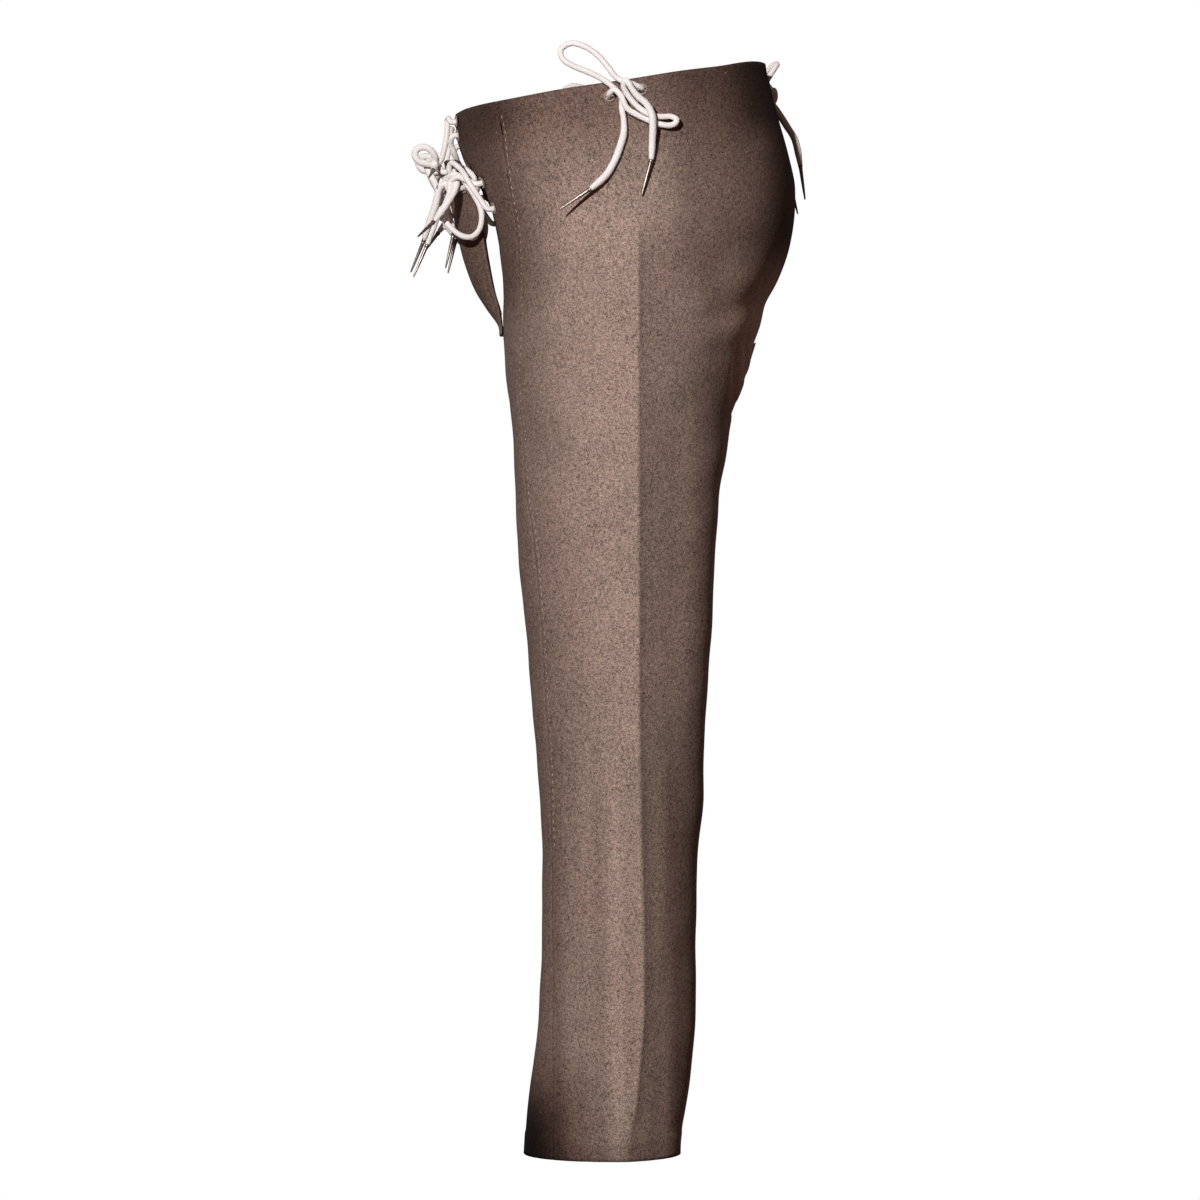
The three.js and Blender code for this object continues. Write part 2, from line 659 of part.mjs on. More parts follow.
// the point at each side of the waist, tied in a bow
{
  const f = frame(sideFront, sideBack)
  const P = (a, b, c) => f.at(a - 3.5, b + 3, c)
  lace('lace_side_*', [
    P(-29, -97, 5), P(-23, -92, 4.5), P(-14, -83, 4.5), P(-6, -69, 4.5), P(-1, -55, 4.5),
    P(2, -44, 4.5), P(2, -30, 4.5), P(0, -18, 4.5),
    P(0, -9, 4.4), P(-6, -1, 5), P(-16, 7, 7), P(-31, 15, 8), P(-46, 21, 9), P(-56, 28, 9),
    P(-58, 37, 9), P(-49, 43, 9.5), P(-36, 40, 10.5), P(-23, 31, 11.5),
    P(-12, 18, 12), P(-5, 9, 12.5), P(2, 5, 13.5), P(10, 3, 11),
    ...into(sideBack, 6), f.at(7, 0, -11), f.at(-7, 0, -11), ...outOf(sideFront, 6),
    P(-7, -3, 13), P(-1, -8, 13.5), P(5, -20, 11), P(16, -27, 8), P(27, -31.5, 5), P(38, -35, 4.5),
    P(48, -35.5, 4.5), P(53, -31.5, 4.5), P(48, -27.5, 4.5),
    P(36, -27.5, 5), P(24, -24.5, 7.5), P(14, -17.5, 10), P(6, -8, 13), P(2, 0, 17.5), P(5, 4, 21),
    P(9, -2, 21), P(15, -10, 19), P(24, -18, 17),
    P(29, -27, 15), P(30, -38, 12), P(29.5, -50, 8), P(29, -60, 6), P(28.5, -69, 5.2)],
  [f.at(-21, -14, -0.5), f.at(-9, -34, -1)].map(v => v.sub(f.o)))
}

// the point at the back of the waist
{
  const mate = otherSide(backEye)
  const f = frame(mate, backEye)
  const P = f.at
  lace('lace_back', [
    P(12, -84, 23), P(12, -72, 24), P(12, -58, 24), P(11, -44, 20), P(10, -30, 16), P(9, -18, 12),
    P(6, -8, 8), P(1, -2, 6),
    P(-4, 6, 7), P(-2, 12, 12), P(4, 18, 21), P(10, 18, 26), P(14, 11, 19), P(11, 4, 12),
    P(4, 1, 12), P(-4, -1, 12), P(-10, -2, 10),
    ...into(mate, 5), f.at(-6, 0, -11), f.at(6, 0, -11), ...outOf(backEye, 5),
    P(9, -4, 9), P(3, -8, 10), P(-5, -10, 9), P(-16, -10, 8.5), P(-30, -9, 11), P(-43, -7, 15),
    P(-53, -3, 17), P(-54, 3, 17), P(-46, 4, 15), P(-33, 0, 12), P(-20, -3, 11), P(-9, -5, 14), P(0, -5, 16.5), P(1, -12, 16), P(-6, -18, 12),
    P(-17, -22, 10), P(-31, -28, 9), P(-43, -37, 10),
    P(-52, -48, 11), P(-59, -62, 12), P(-63, -76, 12), P(-65, -90, 12)],
  [V(0, 0.14, -1), null])
}

// the upper point on each side of the codpiece: waist corner to flap
lace('lace_front_upper_*', [
  V(51, -177.5, 956), V(47, -177, 957), V(41, -176.5, 960), V(39.5, -176, 966), V(44, -175.5, 971),
  V(47, -180, 977), V(47, -187, 979), V(46, -193, 974), V(45, -190, 966.5),
  V(43, -181, 963), V(37, -172, 963), V(39.5, -166.5, 968), V(42.5, -164.5, 975),
  V(45, -162.5, 985), V(47, -161, 998), V(48.5, -160.8, 1008),
  ...into(waistUpper, 6), V(52.2, -138, 996.5),
  ...outOf(waistLower, 6), V(50, -157.6, 981), V(46, -154.5, 973.5), V(39, -152, 967),
  ...outOf(flapTop, 6),
  V(30.5, -171, 963), V(32, -177, 967.5), V(36, -181, 964), V(36.5, -179.5, 956), V(36, -174, 946),
  V(35.5, -168, 930), V(35, -161, 912), V(36, -155, 897)],
[V(32, -3, -10), V(0, -8, -34)])

// the lower point on each side: flap to the edge of the leg
lace('lace_front_lower_*', [
  V(62, -173, 906), V(63.5, -166.5, 915), V(65, -160, 925), V(64.5, -154.5, 935), V(61, -152, 943),
  V(54, -151.5, 950), V(47, -161.5, 950), V(43.5, -165.5, 943), V(42, -170, 932),
  V(42.5, -169.5, 920), V(47, -163.5, 907.5), V(54, -155, 897),
  V(62, -145.5, 890.5), V(68, -137, 889.5), V(72, -130, 895), V(74, -127, 905.5), V(74, -128, 916),
  V(71.5, -134, 928), V(66, -142.5, 939.5),
  V(62, -149, 947), V(57, -157.5, 948.5), V(51, -161, 944), V(51, -157, 939.5),
  ...into(flapLow, 6, 4.8), V(50.5, -134.5, 947.5), ...outOf(flapCorner, 6, 4.8),
  V(55.5, -157, 962), V(64.5, -147, 954.5), V(76, -137, 939), V(85, -128, 925),
  ...into(edgeLower, 6), V(80.5, -112, 929), ...outOf(edgeUpper, 5), V(72, -140, 945),
  V(65, -149, 949), V(60, -156, 944),
  V(62, -157, 934), V(62, -161, 924), V(60, -165, 914), V(55, -166, 908), V(50.5, -163.5, 913),
  V(51, -160, 924), V(53, -158, 934),
  V(55.5, -162, 943), V(53, -168, 939), V(48, -172, 925), V(43, -177, 911), V(39, -182, 897),
  V(37, -184, 890)],
[V(27, -14.5, -16.5), V(-4, -14, -33.5)])

export default group
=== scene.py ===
# Laced wool hose with a codpiece flap, as worn. Metres in the part's frame:
# +Z up, the front faces -Y, the wearer's left is +X, the origin is the middle
# of the waist. Pattern tables are in millimetres above the hem.
import math

import bmesh
import bpy
import numpy as np
from mathutils import Matrix, Vector


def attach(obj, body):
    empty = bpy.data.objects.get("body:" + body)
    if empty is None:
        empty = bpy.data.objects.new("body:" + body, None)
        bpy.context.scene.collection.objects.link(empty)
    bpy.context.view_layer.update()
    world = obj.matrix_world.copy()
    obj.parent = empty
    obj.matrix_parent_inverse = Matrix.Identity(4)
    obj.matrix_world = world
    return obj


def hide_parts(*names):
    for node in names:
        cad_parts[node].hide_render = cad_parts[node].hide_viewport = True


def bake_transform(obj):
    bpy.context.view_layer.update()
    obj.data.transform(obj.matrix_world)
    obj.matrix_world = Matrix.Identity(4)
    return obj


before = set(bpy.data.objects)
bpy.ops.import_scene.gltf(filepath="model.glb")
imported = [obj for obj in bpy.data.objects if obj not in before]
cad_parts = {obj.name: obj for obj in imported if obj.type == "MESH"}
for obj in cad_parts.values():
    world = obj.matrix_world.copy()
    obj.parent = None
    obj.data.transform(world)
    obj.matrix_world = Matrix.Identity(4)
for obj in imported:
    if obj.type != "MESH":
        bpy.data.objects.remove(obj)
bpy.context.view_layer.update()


# ---------------------------------------------------------------------------
# The view and the light: level with the thigh, square on to the wearer's left
# side, one lamp from the front and above, and a pale ground under the feet.
camera_data = bpy.data.cameras.new("camera")
camera_data.sensor_width = 36
camera_data.lens = 139.3
camera = bpy.data.objects.new("camera", camera_data)
camera.location = (4.6, -0.0116, -0.495)
camera.rotation_euler = (math.pi / 2, 0, math.pi / 2)
bpy.context.scene.collection.objects.link(camera)
bpy.context.scene.camera = camera
bpy.context.scene.view_settings.view_transform = "Standard"


def lamp(name, place, target, size, power):
    data = bpy.data.lights.new(name, "AREA")
    data.shape = "DISK"
    data.size = size
    data.energy = power
    light = bpy.data.objects.new(name, data)
    light.location = place
    light.rotation_euler = (Vector(place) - Vector(target)).to_track_quat("Z", "Y").to_euler()
    bpy.context.scene.collection.objects.link(light)


lamp("key", (3.3, -0.95, 0.75), (0.19, 0, -0.3), 0.12, 120)
lamp("far front", (-3.4, -2.2, 1.3), (0, 0, -0.4), 1.2, 34)
lamp("far back", (-3.2, 2.6, 1.3), (0, 0, -0.4), 1.2, 12)

world = bpy.data.worlds.new("studio")
world.use_nodes = True
bpy.context.scene.world = world
tree = world.node_tree
tree.nodes.clear()
seen = tree.nodes.new("ShaderNodeBackground")
seen.inputs["Color"].default_value = (1, 1, 1, 1)
around = tree.nodes.new("ShaderNodeBackground")
around.inputs["Color"].default_value = (1, 0.6, 0.5, 1)
around.inputs["Strength"].default_value = 0.075
path = tree.nodes.new("ShaderNodeLightPath")
either = tree.nodes.new("ShaderNodeMixShader")
output = tree.nodes.new("ShaderNodeOutputWorld")
tree.links.new(path.outputs["Is Camera Ray"], either.inputs["Fac"])
tree.links.new(around.outputs["Background"], either.inputs[1])
tree.links.new(seen.outputs["Background"], either.inputs[2])
tree.links.new(either.outputs["Shader"], output.inputs["Surface"])


# ---------------------------------------------------------------------------
# The hose panels: fulled wool, one outer and one inner panel for each leg,
# seamed down the front of the thigh and up the back, pressed along the side
# and hemmed at the foot. The shape is that of the worn cloth.
WAIST_HEIGHT = 1030
WOOL = 2.5
LINEN = 1.2
GAP = 0.3
CREASE = 8
HOLLOW = 22
FRONT = [(0, -85), (60, -80), (105, -74), (150, -70), (235, -67), (330, -70), (430, -77), (535, -86), (632, -95),
         (700, -101), (760, -105), (802, -107.5), (830, -109), (857, -113), (877, -117), (896, -121), (916, -126),
         (930, -130.5), (944, -136.5), (957, -143.5), (969, -150), (985, -155), (1012, -157), (1062, -156)]
BACK = [(0, 66), (45, 72), (100, 79), (147, 81), (278, 82), (342, 89), (424, 91), (554, 99), (632, 105), (671, 113),
        (708, 119), (741, 128), (783, 141), (820, 152), (852, 165), (885, 176), (917, 181), (949, 181), (974, 179),
        (1003, 173), (1029, 166.5), (1062, 160)]
OUTER = [(0, 179), (120, 178), (250, 180), (450, 183), (600, 188), (690, 192), (770, 195), (860, 197), (930, 192),
         (990, 185), (1030, 180), (1060, 178)]
INNER = [(0, 31), (150, 27), (300, 21), (450, 14), (600, 8), (690, 3), (755, 0.15)]
CREASE_Y = [(0, 15), (60, 22), (150, 29), (400, 25), (880, 24)]
SEAM_Y = [(0, -57), (245, -58), (400, -62), (455, -65), (535, -70), (598, -76.5), (637, -83.4), (700, -88),
          (739, -92), (817, -90), (885, -91.5), (928, -99), (977, -106), (1014, -111)]
WAIST = [(-160, 1011), (-142, 1013), (-97, 1016.5), (-50, 1022.5), (15, 1031), (64, 1039.5), (100, 1046), (153, 1058)]


def along(table, z):
    heights, values = np.array(table, float).T
    slopes = np.zeros(len(values))
    slopes[1:-1] = (values[2:] - values[:-2]) / (heights[2:] - heights[:-2])
    z = np.clip(z, heights[0], heights[-1])
    i = np.clip(np.searchsorted(heights, z) - 1, 0, len(heights) - 2)
    h = heights[i + 1] - heights[i]
    u = (z - heights[i]) / h
    return ((2 * u**3 - 3 * u**2 + 1) * values[i] + (u**3 - 2 * u**2 + u) * h * slopes[i]
            + (3 * u**2 - 2 * u**3) * values[i + 1] + (u**3 - u**2) * h * slopes[i + 1])


def smooth(a, b, v):
    u = np.clip((v - a) / (b - a), 0, 1)
    return u * u * (3 - 2 * u)


def mix(a, b, u):
    return a + (b - a) * u


def unit(v):
    return v / np.linalg.norm(v, axis=-1, keepdims=True)


def ring(z, t):
    front, back, outer, inner = (along(table, z) for table in (FRONT, BACK, OUTER, INNER))
    leg = 1 - smooth(600, 765, z)
    inside = t > 1
    u = np.where(inside, 2 - t, t)
    middle = mix(24, (front + back) / 2, leg)

    def bulge(s, power):
        return middle + np.where(s > 0, back - middle, middle - front) * np.sign(s) * np.abs(s) ** power

    a = (u - 0.5) * math.pi
    hip_x = np.where(inside, inner, inner + (outer - inner) * np.maximum(0, np.cos(a)) ** (2 / 2.2))
    hip_y = np.where(inside, mix(front, back, u), bulge(np.sin(a), 2 / 2.2))
    reach = math.pi * 0.69
    a = np.where(inside, mix(2 * math.pi - reach, reach, u), mix(-reach, reach, u))
    c = np.cos(a)
    leg_x = (inner + outer) / 2 + (outer - inner) / 2 * np.sign(c) * np.abs(c) ** (2 / 2.1)
    leg_y = bulge(np.sin(a), 2 / 2.1)
    return mix(hip_x, leg_x, leg), mix(hip_y, leg_y, leg)


def halved(lo, hi, low_side, steps=30):
    for _ in range(steps):
        m = (lo + hi) / 2
        lo, hi = np.where(low_side(m), m, lo), np.where(low_side(m), hi, m)
    return (lo + hi) / 2


def t_at_y(z, y):
    hip = smooth(600, 765, z)
    lo = 0.5 - 0.5 / (2 * 0.69) * (1 - hip) - 0.5 * hip
    return halved(lo, 1 - lo, lambda m: ring(z, m)[1] < y)


def waist_at(t):
    z = np.full(np.shape(t), 1035.0)
    for _ in range(6):
        z = along(WAIST, ring(z, t)[1])
    return z


def crotch_at(t):
    u = np.clip(t - 1, 0, 1)
    dip = 30 * np.maximum(0, np.sin(math.pi * u)) ** 0.8
    return np.where(t <= 1, mix(802, 790, t), mix(790, 802, u) - dip)


def height_at(s, t):
    return np.where(s <= 1, s * crotch_at(t), mix(crotch_at(t), waist_at(t % 2), s - 1))


def surface(z, t):
    k = t % 2
    x, y = ring(z, k)
    side = (k > 0) & (k <= 1)
    edge = np.minimum(k, 1 - k)
    rise = CREASE * (1 - smooth(850, 940, z)) * mix(0.5, 1, smooth(0, 60, z))
    crease = rise * np.exp(-np.abs(y - along(CREASE_Y, z)) / 26) * smooth(0, 0.2, edge)
    folds = sum(depth * np.exp(-(((z - at - (y - 110) * 0.35) / wide) ** 2)) * smooth(40, 125, y)
                for at, depth, wide in ((812, 4, 12), (775, 3, 11)))
    x = x + np.where(side, crease - folds * (1 - smooth(0.7, 0.93, k)), 0)
    hollow = HOLLOW * np.exp(-((x / 46) ** 2)) * smooth(940, 1015, z) * (k > 0.5)
    y = y - np.where(side, folds * smooth(0.7, 0.9, k) * 0.6 + hollow, 0)
    return np.stack([x, y, z + 0 * x], -1)


def out_of_cloth(z, t):
    a, b = np.maximum(t - 0.012, 0), np.minimum(t + 0.012, 1)
    du = surface(z, b) - surface(z, a)
    dv = surface(np.minimum(z + 3, 1066), t) - surface(np.maximum(z - 3, 0), t)
    dv[..., 0] = 0
    dv[..., 1] *= 0.35
    n = unit(np.cross(du, dv))
    n[..., 2] *= 0.5
    return unit(n)


def seam_t(s):
    z = height_at(s, np.full(np.shape(s), 0.2))
    return t_at_y(z, along(SEAM_Y, z))


def crease_t(s):
    z = height_at(s, np.full(np.shape(s), 0.55))
    return t_at_y(z, along(CREASE_Y, z))


def wear(z, t, p, which):
    """How far the cloth stands out from its plain shape, in millimetres."""
    y = p[..., 1]
    side = (t > 0) & (t < 1)
    below_waist = waist_at(t % 2) - z
    belt = -1.8 * np.exp(-(((below_waist - 27) / 10) ** 2)) * (1 - smooth(-70, 20, y)) * side
    crease_strength = (1 - smooth(840, 900, z)) * smooth(0, 60, z)
    from_crease = y - along(CREASE_Y, z)
    crease = 4 * np.exp(-np.abs(from_crease) / np.where(from_crease > 0, 11, 22)) * crease_strength * side
    pleat = -3.0 * np.exp(-(((y - 119.5 - (z - 745) ** 2 * 0.0012) / 3.0) ** 2))
    pleat = pleat * smooth(704, 722, z) * (1 - smooth(770, 792, z))
    tuck = -2.2 * np.exp(-(((y - 131) / 2.2) ** 2)) * smooth(748, 757, z) * (1 - smooth(778, 796, z))
    drag = sum(-depth * np.exp(-(((y - y0 - (z - z0) * lean) / wide) ** 2))
               * smooth(low, low + 18, z) * (1 - smooth(high - 18, high, z))
               for y0, z0, lean, wide, depth, low, high in (
                   (-18, 722, -0.8, 3.2, 0.8, 690, 760), (-32, 735, -0.75, 2.5, 0.5, 712, 765),
                   (-31, 180, -0.045, 4.5, 0.9, -40, 380), (-8, 160, -0.03, 6, 0.6, -40, 330),
                   (60, 500, 0.02, 9, 0.7, 330, 720), (52, 180, 0.05, 6, 0.6, -40, 360)))
    slack = sum(size * np.sin(z / length * 2 * math.pi + y / across * 2 * math.pi + phase + which * 1.7)
                for size, length, across, phase in (
                    (0.55, 310, 170, 0.4), (0.4, 178, -120, 2.1), (0.28, 97, 75, 4.0), (0.16, 53, -64, 1.2)))
    slack = slack * smooth(0, 40, below_waist) * (1 - smooth(800, 900, z) * 0.6)
    hem = 0.7 * (1 - smooth(21, 24, z))
    return belt + crease + (pleat + tuck) * side + drag * side + slack + hem


def spaced_columns(a, b, count, tight_a=True, tight_b=True):
    u = np.linspace(0, 1, count + 1)
    eased = (1 - np.cos(u * math.pi)) / 2
    if tight_a and tight_b:
        shape = mix(u, eased, 0.75)
    elif tight_a:
        shape = u ** 1.5
    else:
        shape = 1 - (1 - u) ** 1.5
    return a[:, None] + (b - a)[:, None] * shape


def grid_normals(p):
    du = np.gradient(p, axis=1)
    dv = np.gradient(p, axis=0)
    return unit(np.cross(du, dv))


def worn_grid(z, t, which, valleys=(True, True)):
    """Points of a panel as it hangs on the wearer, with a valley along its seamed edges."""
    p = surface(z, t)
    n = grid_normals(p)
    lift = wear(z, t, p, which)
    steps = np.linalg.norm(np.diff(p, axis=1), axis=2)
    run = np.concatenate([np.zeros((len(p), 1)), np.cumsum(steps, axis=1)], axis=1)
    if valleys[0]:
        lift = lift - 0.6 * np.exp(-((run / 1.6) ** 2))
    if valleys[1]:
        lift = lift - 0.6 * np.exp(-(((run[:, -1:] - run) / 1.6) ** 2))
    return p + n * lift[..., None], run


def metres(p):
    return (np.asarray(p, float) - [0, 0, WAIST_HEIGHT]) / 1000


def mesh_piece(name, points, faces, uvs=None):
    mesh = bpy.data.meshes.new(name)
    mesh.from_pydata(points.tolist(), [], faces.tolist())
    if uvs is not None:
        layer = mesh.uv_layers.new(name="cloth")
        loops = np.zeros(len(mesh.loops), np.int32)
        mesh.loops.foreach_get("vertex_index", loops)
        layer.data.foreach_set("uv", uvs[loops].astype(np.float32).ravel())
    mesh.shade_smooth()
    piece = bpy.data.objects.new(name, mesh)
    bpy.context.scene.collection.objects.link(piece)
    return piece


def cloth_piece(name, grid, uv, mirrored=False, present=None):
    rows, columns = grid.shape[:2]
    index = np.arange(rows * columns).reshape(rows, columns)
    faces = np.stack([index[:-1, :-1], index[:-1, 1:], index[1:, 1:], index[1:, :-1]], -1)
    faces = faces[present] if present is not None else faces.reshape(-1, 4)
    points = metres(grid.reshape(-1, 3))
    if mirrored:
        points[:, 0] *= -1
        faces = faces[:, ::-1]
    used = np.unique(faces)
    renumber = np.zeros(rows * columns, int)
    renumber[used] = np.arange(len(used))
    return mesh_piece(name, points[used], renumber[faces], uv.reshape(-1, 2)[used])


def apply_modifier(piece, kind, **settings):
    bpy.ops.object.select_all(action="DESELECT")
    bpy.context.view_layer.objects.active = piece
    piece.select_set(True)
    modifier = piece.modifiers.new(kind.lower(), kind)
    for key, value in settings.items():
        setattr(modifier, key, value)
    bpy.ops.object.modifier_apply(modifier=modifier.name)


class Wire:
    """A socket of a finish's shader, so that its maths reads as a sum."""

    def __init__(self, tree, socket=None):
        self.tree, self.socket = tree, socket

    def node(self, kind, settings=None, inputs=None, output=0):
        made = self.tree.nodes.new("ShaderNode" + kind)
        for key, value in (settings or {}).items():
            if key == "stops":
                ramp = made.color_ramp.elements
                while len(ramp) < len(value):
                    ramp.new(0.5)
                for stop, (at, colour) in zip(ramp, value):
                    stop.position, stop.color = at, (*colour, 1)
            else:
                setattr(made, key, value)
        for key, value in (inputs or {}).items():
            if isinstance(value, Wire):
                self.tree.links.new(value.socket, made.inputs[key])
            else:
                made.inputs[key].default_value = value
        return Wire(self.tree, made.outputs[output])

    def math(self, operation, *parts):
        return self.node("Math", {"operation": operation}, dict(enumerate(parts)))

    def __add__(self, other):
        return self.math("ADD", self, other)

    __radd__ = __add__

    def __sub__(self, other):
        return self.math("SUBTRACT", self, other)

    def __rsub__(self, other):
        return self.math("SUBTRACT", other, self)

    def __mul__(self, other):
        return self.math("MULTIPLY", self, other)

    __rmul__ = __mul__

    def clipped(self, low, high):
        limits = {"Value": self, "From Min": low, "From Max": high}
        return self.node("MapRange", {"interpolation_type": "SMOOTHSTEP"}, limits)

    def stretched(self, x, y, z):
        return self.node("VectorMath", {"operation": "MULTIPLY"}, {0: self, 1: (x, y, z)})

    def noise(self, scale, detail=2.0, rough=0.5, twist=0.0):
        return self.node("TexNoise", None, {
            "Vector": self, "Scale": scale, "Detail": detail, "Roughness": rough, "Distortion": twist})

    def towards(self, colour, share):
        return self.node("Mix", {"data_type": "RGBA"}, {0: share, 6: self, 7: colour}, 2)

    def tinted(self, amount):
        return self.node("VectorMath", {"operation": "SCALE"}, {0: self, "Scale": amount})


def finish(name, **constants):
    """A new material: its surface shader and an open wire to build on."""
    material = bpy.data.materials.new(name)
    material.use_nodes = True
    shader = material.node_tree.nodes["Principled BSDF"]
    for key, value in constants.items():
        shader.inputs[key.replace("_", " ").title().replace("Ior", "IOR")].default_value = value
    return material, shader, Wire(material.node_tree)


def connect(shader, **wires):
    for key, wire in wires.items():
        wire.tree.links.new(wire.socket, shader.inputs[key.replace("_", " ").title()])


def wool_finish(name, tone):
    material, shader, wire = finish(name, specular_ior_level=0.12)
    place = wire.node("TexCoord", output=3)
    patches = place.noise(5.5, 3.0, 0.55)
    blotch = place.noise(30, 3.0, 0.6)
    mottle = place.noise(300, 2.0, 0.6)
    grain = place.noise(760, 2.0, 0.75)
    aslant = place.node("Mapping", {"vector_type": "TEXTURE"}, {
        "Vector": place, "Rotation": (math.radians(30), 0, 0), "Scale": (0.002, 0.002, 0.010)})
    nap = aslant.noise(1, 2.0, 0.6, 0.4)
    fibre = place.noise(1400, 2.0, 0.7)
    brushed = wire.node("Attribute", {"attribute_name": "brushed"}, output=2)
    # The tone attribute carries the painted shade and light, and scales the wool's colour.
    painted_shade = wire.node("Attribute", {"attribute_name": "tone"}, output=2)
    shade = (0.2 * (patches - 0.5) + 0.35 * (blotch - 0.5) + 1.4 * (mottle - 0.5) + 3.4 * (grain - 0.5)
             + (nap - 0.5) * (0.15 + 1.1 * brushed))
    clean = wire.node("Mix", {"data_type": "RGBA"}, {
        0: place.noise(9, 2.0).clipped(0.38, 0.62), 6: (0.266, 0.186, 0.154, 1), 7: (0.246, 0.178, 0.145, 1)}, 2)
    # Painted shade: the wool turns redder where the painted shade is dark.
    shade_reddened = clean.towards((0.28, 0.163, 0.129, 1), 1 - painted_shade.clipped(0.05, 0.95))
    lint = place.noise(300, 1.0, 0.5).clipped(0.79, 0.84)
    colour = shade_reddened.tinted((1 + shade) * painted_shade * tone).towards((0.55, 0.48, 0.44, 1), lint * 0.6)
    rough = 0.86 + 0.12 * mottle
    relief = grain * 0.6 + nap * 0.3 + fibre * 0.3 + mottle * 0.5
    bump = wire.node("Bump", None, {"Strength": 0.6, "Distance": 0.0009, "Height": relief})
    connect(shader, base_color=colour, roughness=rough, normal=bump)
    return material


outer_wool = wool_finish("outer wool", 1.13)
inner_wool = wool_finish("inner wool", 1.09)


def paint_light_and_shade(piece):
    """Stores the painted light and shade of the cloth as its tone, and where its nap is brushed aslant."""
    mesh = piece.data
    points = np.zeros(len(mesh.vertices) * 3)
    mesh.vertices.foreach_get("co", points)
    _, y, z = points.reshape(-1, 3).T * 1000
    z = z + WAIST_HEIGHT
    from_waist = along(WAIST, y) - z
    from_seam = y - along(SEAM_Y, z)
    behind = y - along(CREASE_Y, z)
    high = smooth(690, 780, z)
    # The tone is painted shade and light: darker along the waist edge, at the front under the waist, in a band down
    # the front, towards the front seam, behind the side crease, over the seat, at the back rim, low at the front and
    # at the hem; lighter under the seat.
    tone = mix(0.48, 1.1, smooth(4, 145, from_waist) ** 0.8)
    tone *= 1 - 0.4 * (1 - smooth(-120, -60, y)) * (1 - smooth(18, 60, from_waist))
    tone *= 1 - 0.32 * (1 - smooth(-95, -25, y)) * smooth(800, 850, z) * (1 - smooth(890, 960, z))
    tone *= mix(mix(0.62, 1, smooth(-10, 78, from_seam)), mix(0.7, 1.0, smooth(-8, 40, from_seam)), high)
    creased = smooth(0, 90, z) * (1 - smooth(860, 930, z))
    tone *= 1 - smooth(-1, 3, behind) * mix(0.24, 0.14, smooth(20, 50, behind)) * creased
    tone *= 1 - 0.28 * smooth(8, 40, behind) * (1 - smooth(330, 450, z)) * smooth(20, 90, z)
    tone *= 1 - 0.38 * smooth(35, 80, y) * smooth(800, 870, z)
    tone *= 1 + 0.9 * smooth(94, 124, y) * smooth(715, 765, z) * (1 - smooth(845, 890, z))
    tone *= 1 - 0.7 * smooth(132, 178, y) * smooth(850, 900, z)
    tone *= 1 - 0.60 * smooth(100, 140, y) * smooth(965, 1010, z)
    tone *= 1 - 0.95 * (1 - smooth(-84, 12, y)) * (1 - smooth(24, 122, z))
    tone *= 1 - 0.32 * (1 - smooth(2, 30, z - 6 * np.sin(y / 17)))
    streaks = 0.09 * np.sin(y / 6.1 + 0.8) + 0.06 * np.sin(y / 3.7 + z / 190)
    tone *= 1 + streaks * (1 - smooth(330, 430, z)) * smooth(-70, -50, y)
    brushed = smooth(800, 900, z) * (1 - smooth(0, 60, y)) * smooth(-125, -80, y)
    for name, value in (("tone", tone), ("brushed", brushed)):
        layer = mesh.attributes.new(name, "FLOAT", "POINT")
        layer.data.foreach_set("value", value.astype(np.float32))


def place_piece(piece, body, slot, material, *nodes):
    piece.data.materials.clear()
    piece.data.materials.append(material)
    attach(piece, body)
    if nodes:
        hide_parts(*nodes)


def on_pelvis(x, z):
    return halved(0.0 * z, 0.5 + 0.0 * z, lambda m: ring(z, m)[0] < x)


def on_back(x, z):
    return halved(0.5 + 0.0 * z, 1.0 + 0.0 * z, lambda m: ring(z, m)[0] > x)


class Eye:
    """An eyelet's place on the cloth: its middle, the way out, the cloth's thickness."""

    def __init__(self, p, n, stack, lift=0):
        self.p, self.n, self.stack, self.lift = np.array(p), np.array(n), stack, lift

    def mirror(self):
        flip = np.array([-1, 1, 1])
        return Eye(self.p * flip, self.n * flip, self.stack, self.lift)

    def through(self, out=4.5, back=4.4):
        return [self.p + self.n * h for h in (out, -self.stack / 2, -self.stack - back)]


def eye_on_hose(z, t, stack, lift=0):
    z = float(z)
    across = surface(z, t + 0.01) - surface(z, t - 0.01)
    up = surface(z + 5, t) - surface(z - 5, t)
    return Eye(surface(z, t), unit(np.cross(across, up)), stack, lift)


LAYERS = WOOL + GAP + LINEN
hose_eyes = {
    "side_front": eye_on_hose(1014.5, t_at_y(1014.5, -2.5), LAYERS),
    "side_back": eye_on_hose(1021, t_at_y(1021, 28), LAYERS),
    "back": eye_on_hose(1041, on_back(13, 1041), LAYERS, 0.5),
    "waist_upper": eye_on_hose(1003.5, on_pelvis(51, 1003.5), LAYERS),
    "waist_lower": eye_on_hose(989.5, on_pelvis(54, 989.5), LAYERS),
    "edge_upper": eye_on_hose(942, on_pelvis(76, 942), WOOL, 0.5),
    "edge_lower": eye_on_hose(916, on_pelvis(85, 916), WOOL),
}

OPENING_EDGE = [(806, 14), (828, 45), (850, 65), (880, 76), (915, 75), (935, 69), (950, 62), (963, 53), (985, 45),
                (1015, 42), (1080, 42)]


